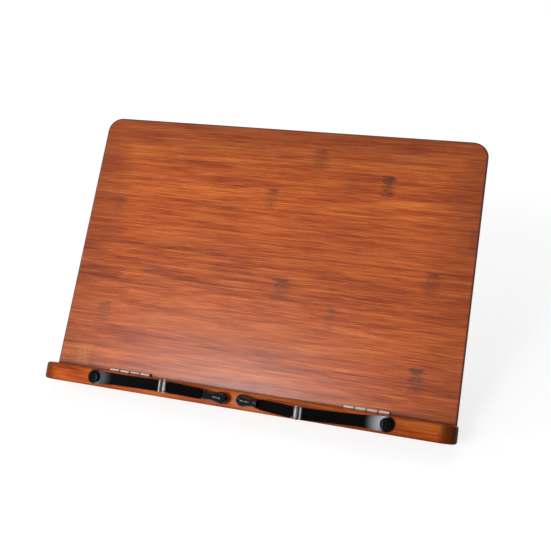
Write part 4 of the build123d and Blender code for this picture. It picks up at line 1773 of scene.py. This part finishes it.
@dataclass(frozen=True)
class Studio:
    """The pale floor, the lamps, the white surroundings and the camera, in metres and degrees."""

    floor_half: float = 5.0
    floor_shade: float = 0.3
    glow: Pair = (0.8, 0.97)  # of the floor, near the stand and far from it
    glow_run: Pair = (0.3, 1.6)
    ambient: float = 0.07
    camera_at: Triple = (0.167426, -0.544168, 0.355128)
    camera_turn: Triple = (65.5334, 0.0, 15.9375)
    lens: float = 49.287  # millimetres, on a film of the next width
    film: float = 36.0
    nearest: float = 0.01
    lamps: tuple[Softbox, ...] = (
        Softbox("front softbox", (-0.57, -1.59, 0.66), (0.0, -0.07, 0.02), 0.8, 1.06, 20.0),
        Softbox("spark lamp", (-0.475, -1.52, 0.9), (0.0, -0.07, 0.01), 0.3, 0.2, 9.5),
        Softbox("left softbox", (-2.9, -0.9, 1.4), (0.0, 0.0, 0.08), 1.4, 1.2, 40.0),
        Softbox("top softbox", (-0.1, 0.7, 2.1), (0.0, 0.0, 0.08), 1.2, 0.8, 10.0),
        Softbox("rear softbox", (0.6, 1.9, 1.0), (0.0, 0.0, 0.08), 0.8, 0.8, 5.0),
    )

    def build(self) -> None:
        """Builds the whole studio."""
        self._floor()
        self._world()
        for lamp in self.lamps:
            lamp.build()
        self._camera()
        bpy.context.scene.view_settings.view_transform = "Standard"

    @staticmethod
    def _seen(graph: Graph) -> Value:
        """Tells the rays that are seen from those that only light.

        Args:
            graph: The tree that asks.

        Returns:
            1 for rays from the camera, from gloss and through glass, 0 for the rest.
        """
        path = graph.add("ShaderNodeLightPath")
        kinds = ("Is Camera Ray", "Is Glossy Ray", "Is Transmission Ray")
        camera, glossy, through = (Value(graph, path.outputs[kind]) for kind in kinds)
        return camera.most(glossy).most(through)

    def _floor(self) -> None:
        """A wide pale floor that looks white and still takes the shadow."""
        bm = bmesh.new()
        bmesh.ops.create_grid(bm, x_segments=1, y_segments=1, size=self.floor_half)
        mesh = bpy.data.meshes.new("floor")
        bm.to_mesh(mesh)
        bm.free()
        piece = shown("floor", mesh)
        material = bpy.data.materials.new("pale floor")
        material.use_nodes = True
        g = Graph(material.node_tree)
        paint = g.add("ShaderNodeBsdfDiffuse", {}, {"Color": grey(self.floor_shade)})
        place = g.add("ShaderNodeTexCoord").outputs["Object"]
        length = g.add("ShaderNodeVectorMath", {"operation": "LENGTH"}, {0: place})
        away = Value(g, length.outputs["Value"])
        near, far = self.glow
        level = away.rise(*self.glow_run) * (far - near) + near
        white = {"Color": grey(1.0), "Strength": self._seen(g) * level}
        glow = g.add("ShaderNodeEmission", {}, white)
        both = g.add("ShaderNodeAddShader", {}, {0: paint.outputs[0], 1: glow.outputs[0]})
        g.add("ShaderNodeOutputMaterial", {}, {"Surface": both.outputs[0]})
        dress(piece, material)

    def _world(self) -> None:
        """White where it is seen, a plain soft level for the rest."""
        world = bpy.data.worlds.new("studio")
        world.use_nodes = True
        bpy.context.scene.world = world
        g = Graph(world.node_tree)
        level = self._seen(g) * (1.0 - self.ambient) + self.ambient
        sky = g.add("ShaderNodeBackground", {}, {"Color": grey(1.0), "Strength": level})
        g.add("ShaderNodeOutputWorld", {}, {"Surface": sky.outputs[0]})

    def _camera(self) -> None:
        """The camera, where the photograph was taken from."""
        camera = bpy.data.cameras.new("camera")
        camera.lens = self.lens
        camera.sensor_width = self.film
        camera.clip_start = self.nearest
        holder = bpy.data.objects.new("camera", camera)
        holder.location = self.camera_at
        holder.rotation_euler = [radians(a) for a in self.camera_turn]
        bpy.context.scene.collection.objects.link(holder)
        bpy.context.scene.camera = holder


def main() -> None:
    """Builds the stand's looks piece by piece."""
    logging.basicConfig(level=logging.INFO, format="%(message)s")
    Studio().build()
    BambooPanels().dress()
    screw = shown("screw_to_repeat", WoodScrew().mesh())
    finish = BrightSteel("screw steel", LAYOUT.board(), rough=0.2).material()
    for screwed in (HingePair(Flap.LEDGE), HingePair(Flap.STRUT), Bail()):
        screwed.build(screw, finish)
    bpy.data.objects.remove(screw)
    # the second number is the strength of each clip's painted sheen beside its pivot
    for clip in (PageClip(Side.LEFT, 0.2, 20.0), PageClip(Side.RIGHT, 0.76, 52.0)):
        clip.build()


if __name__ == "__main__":
    main()
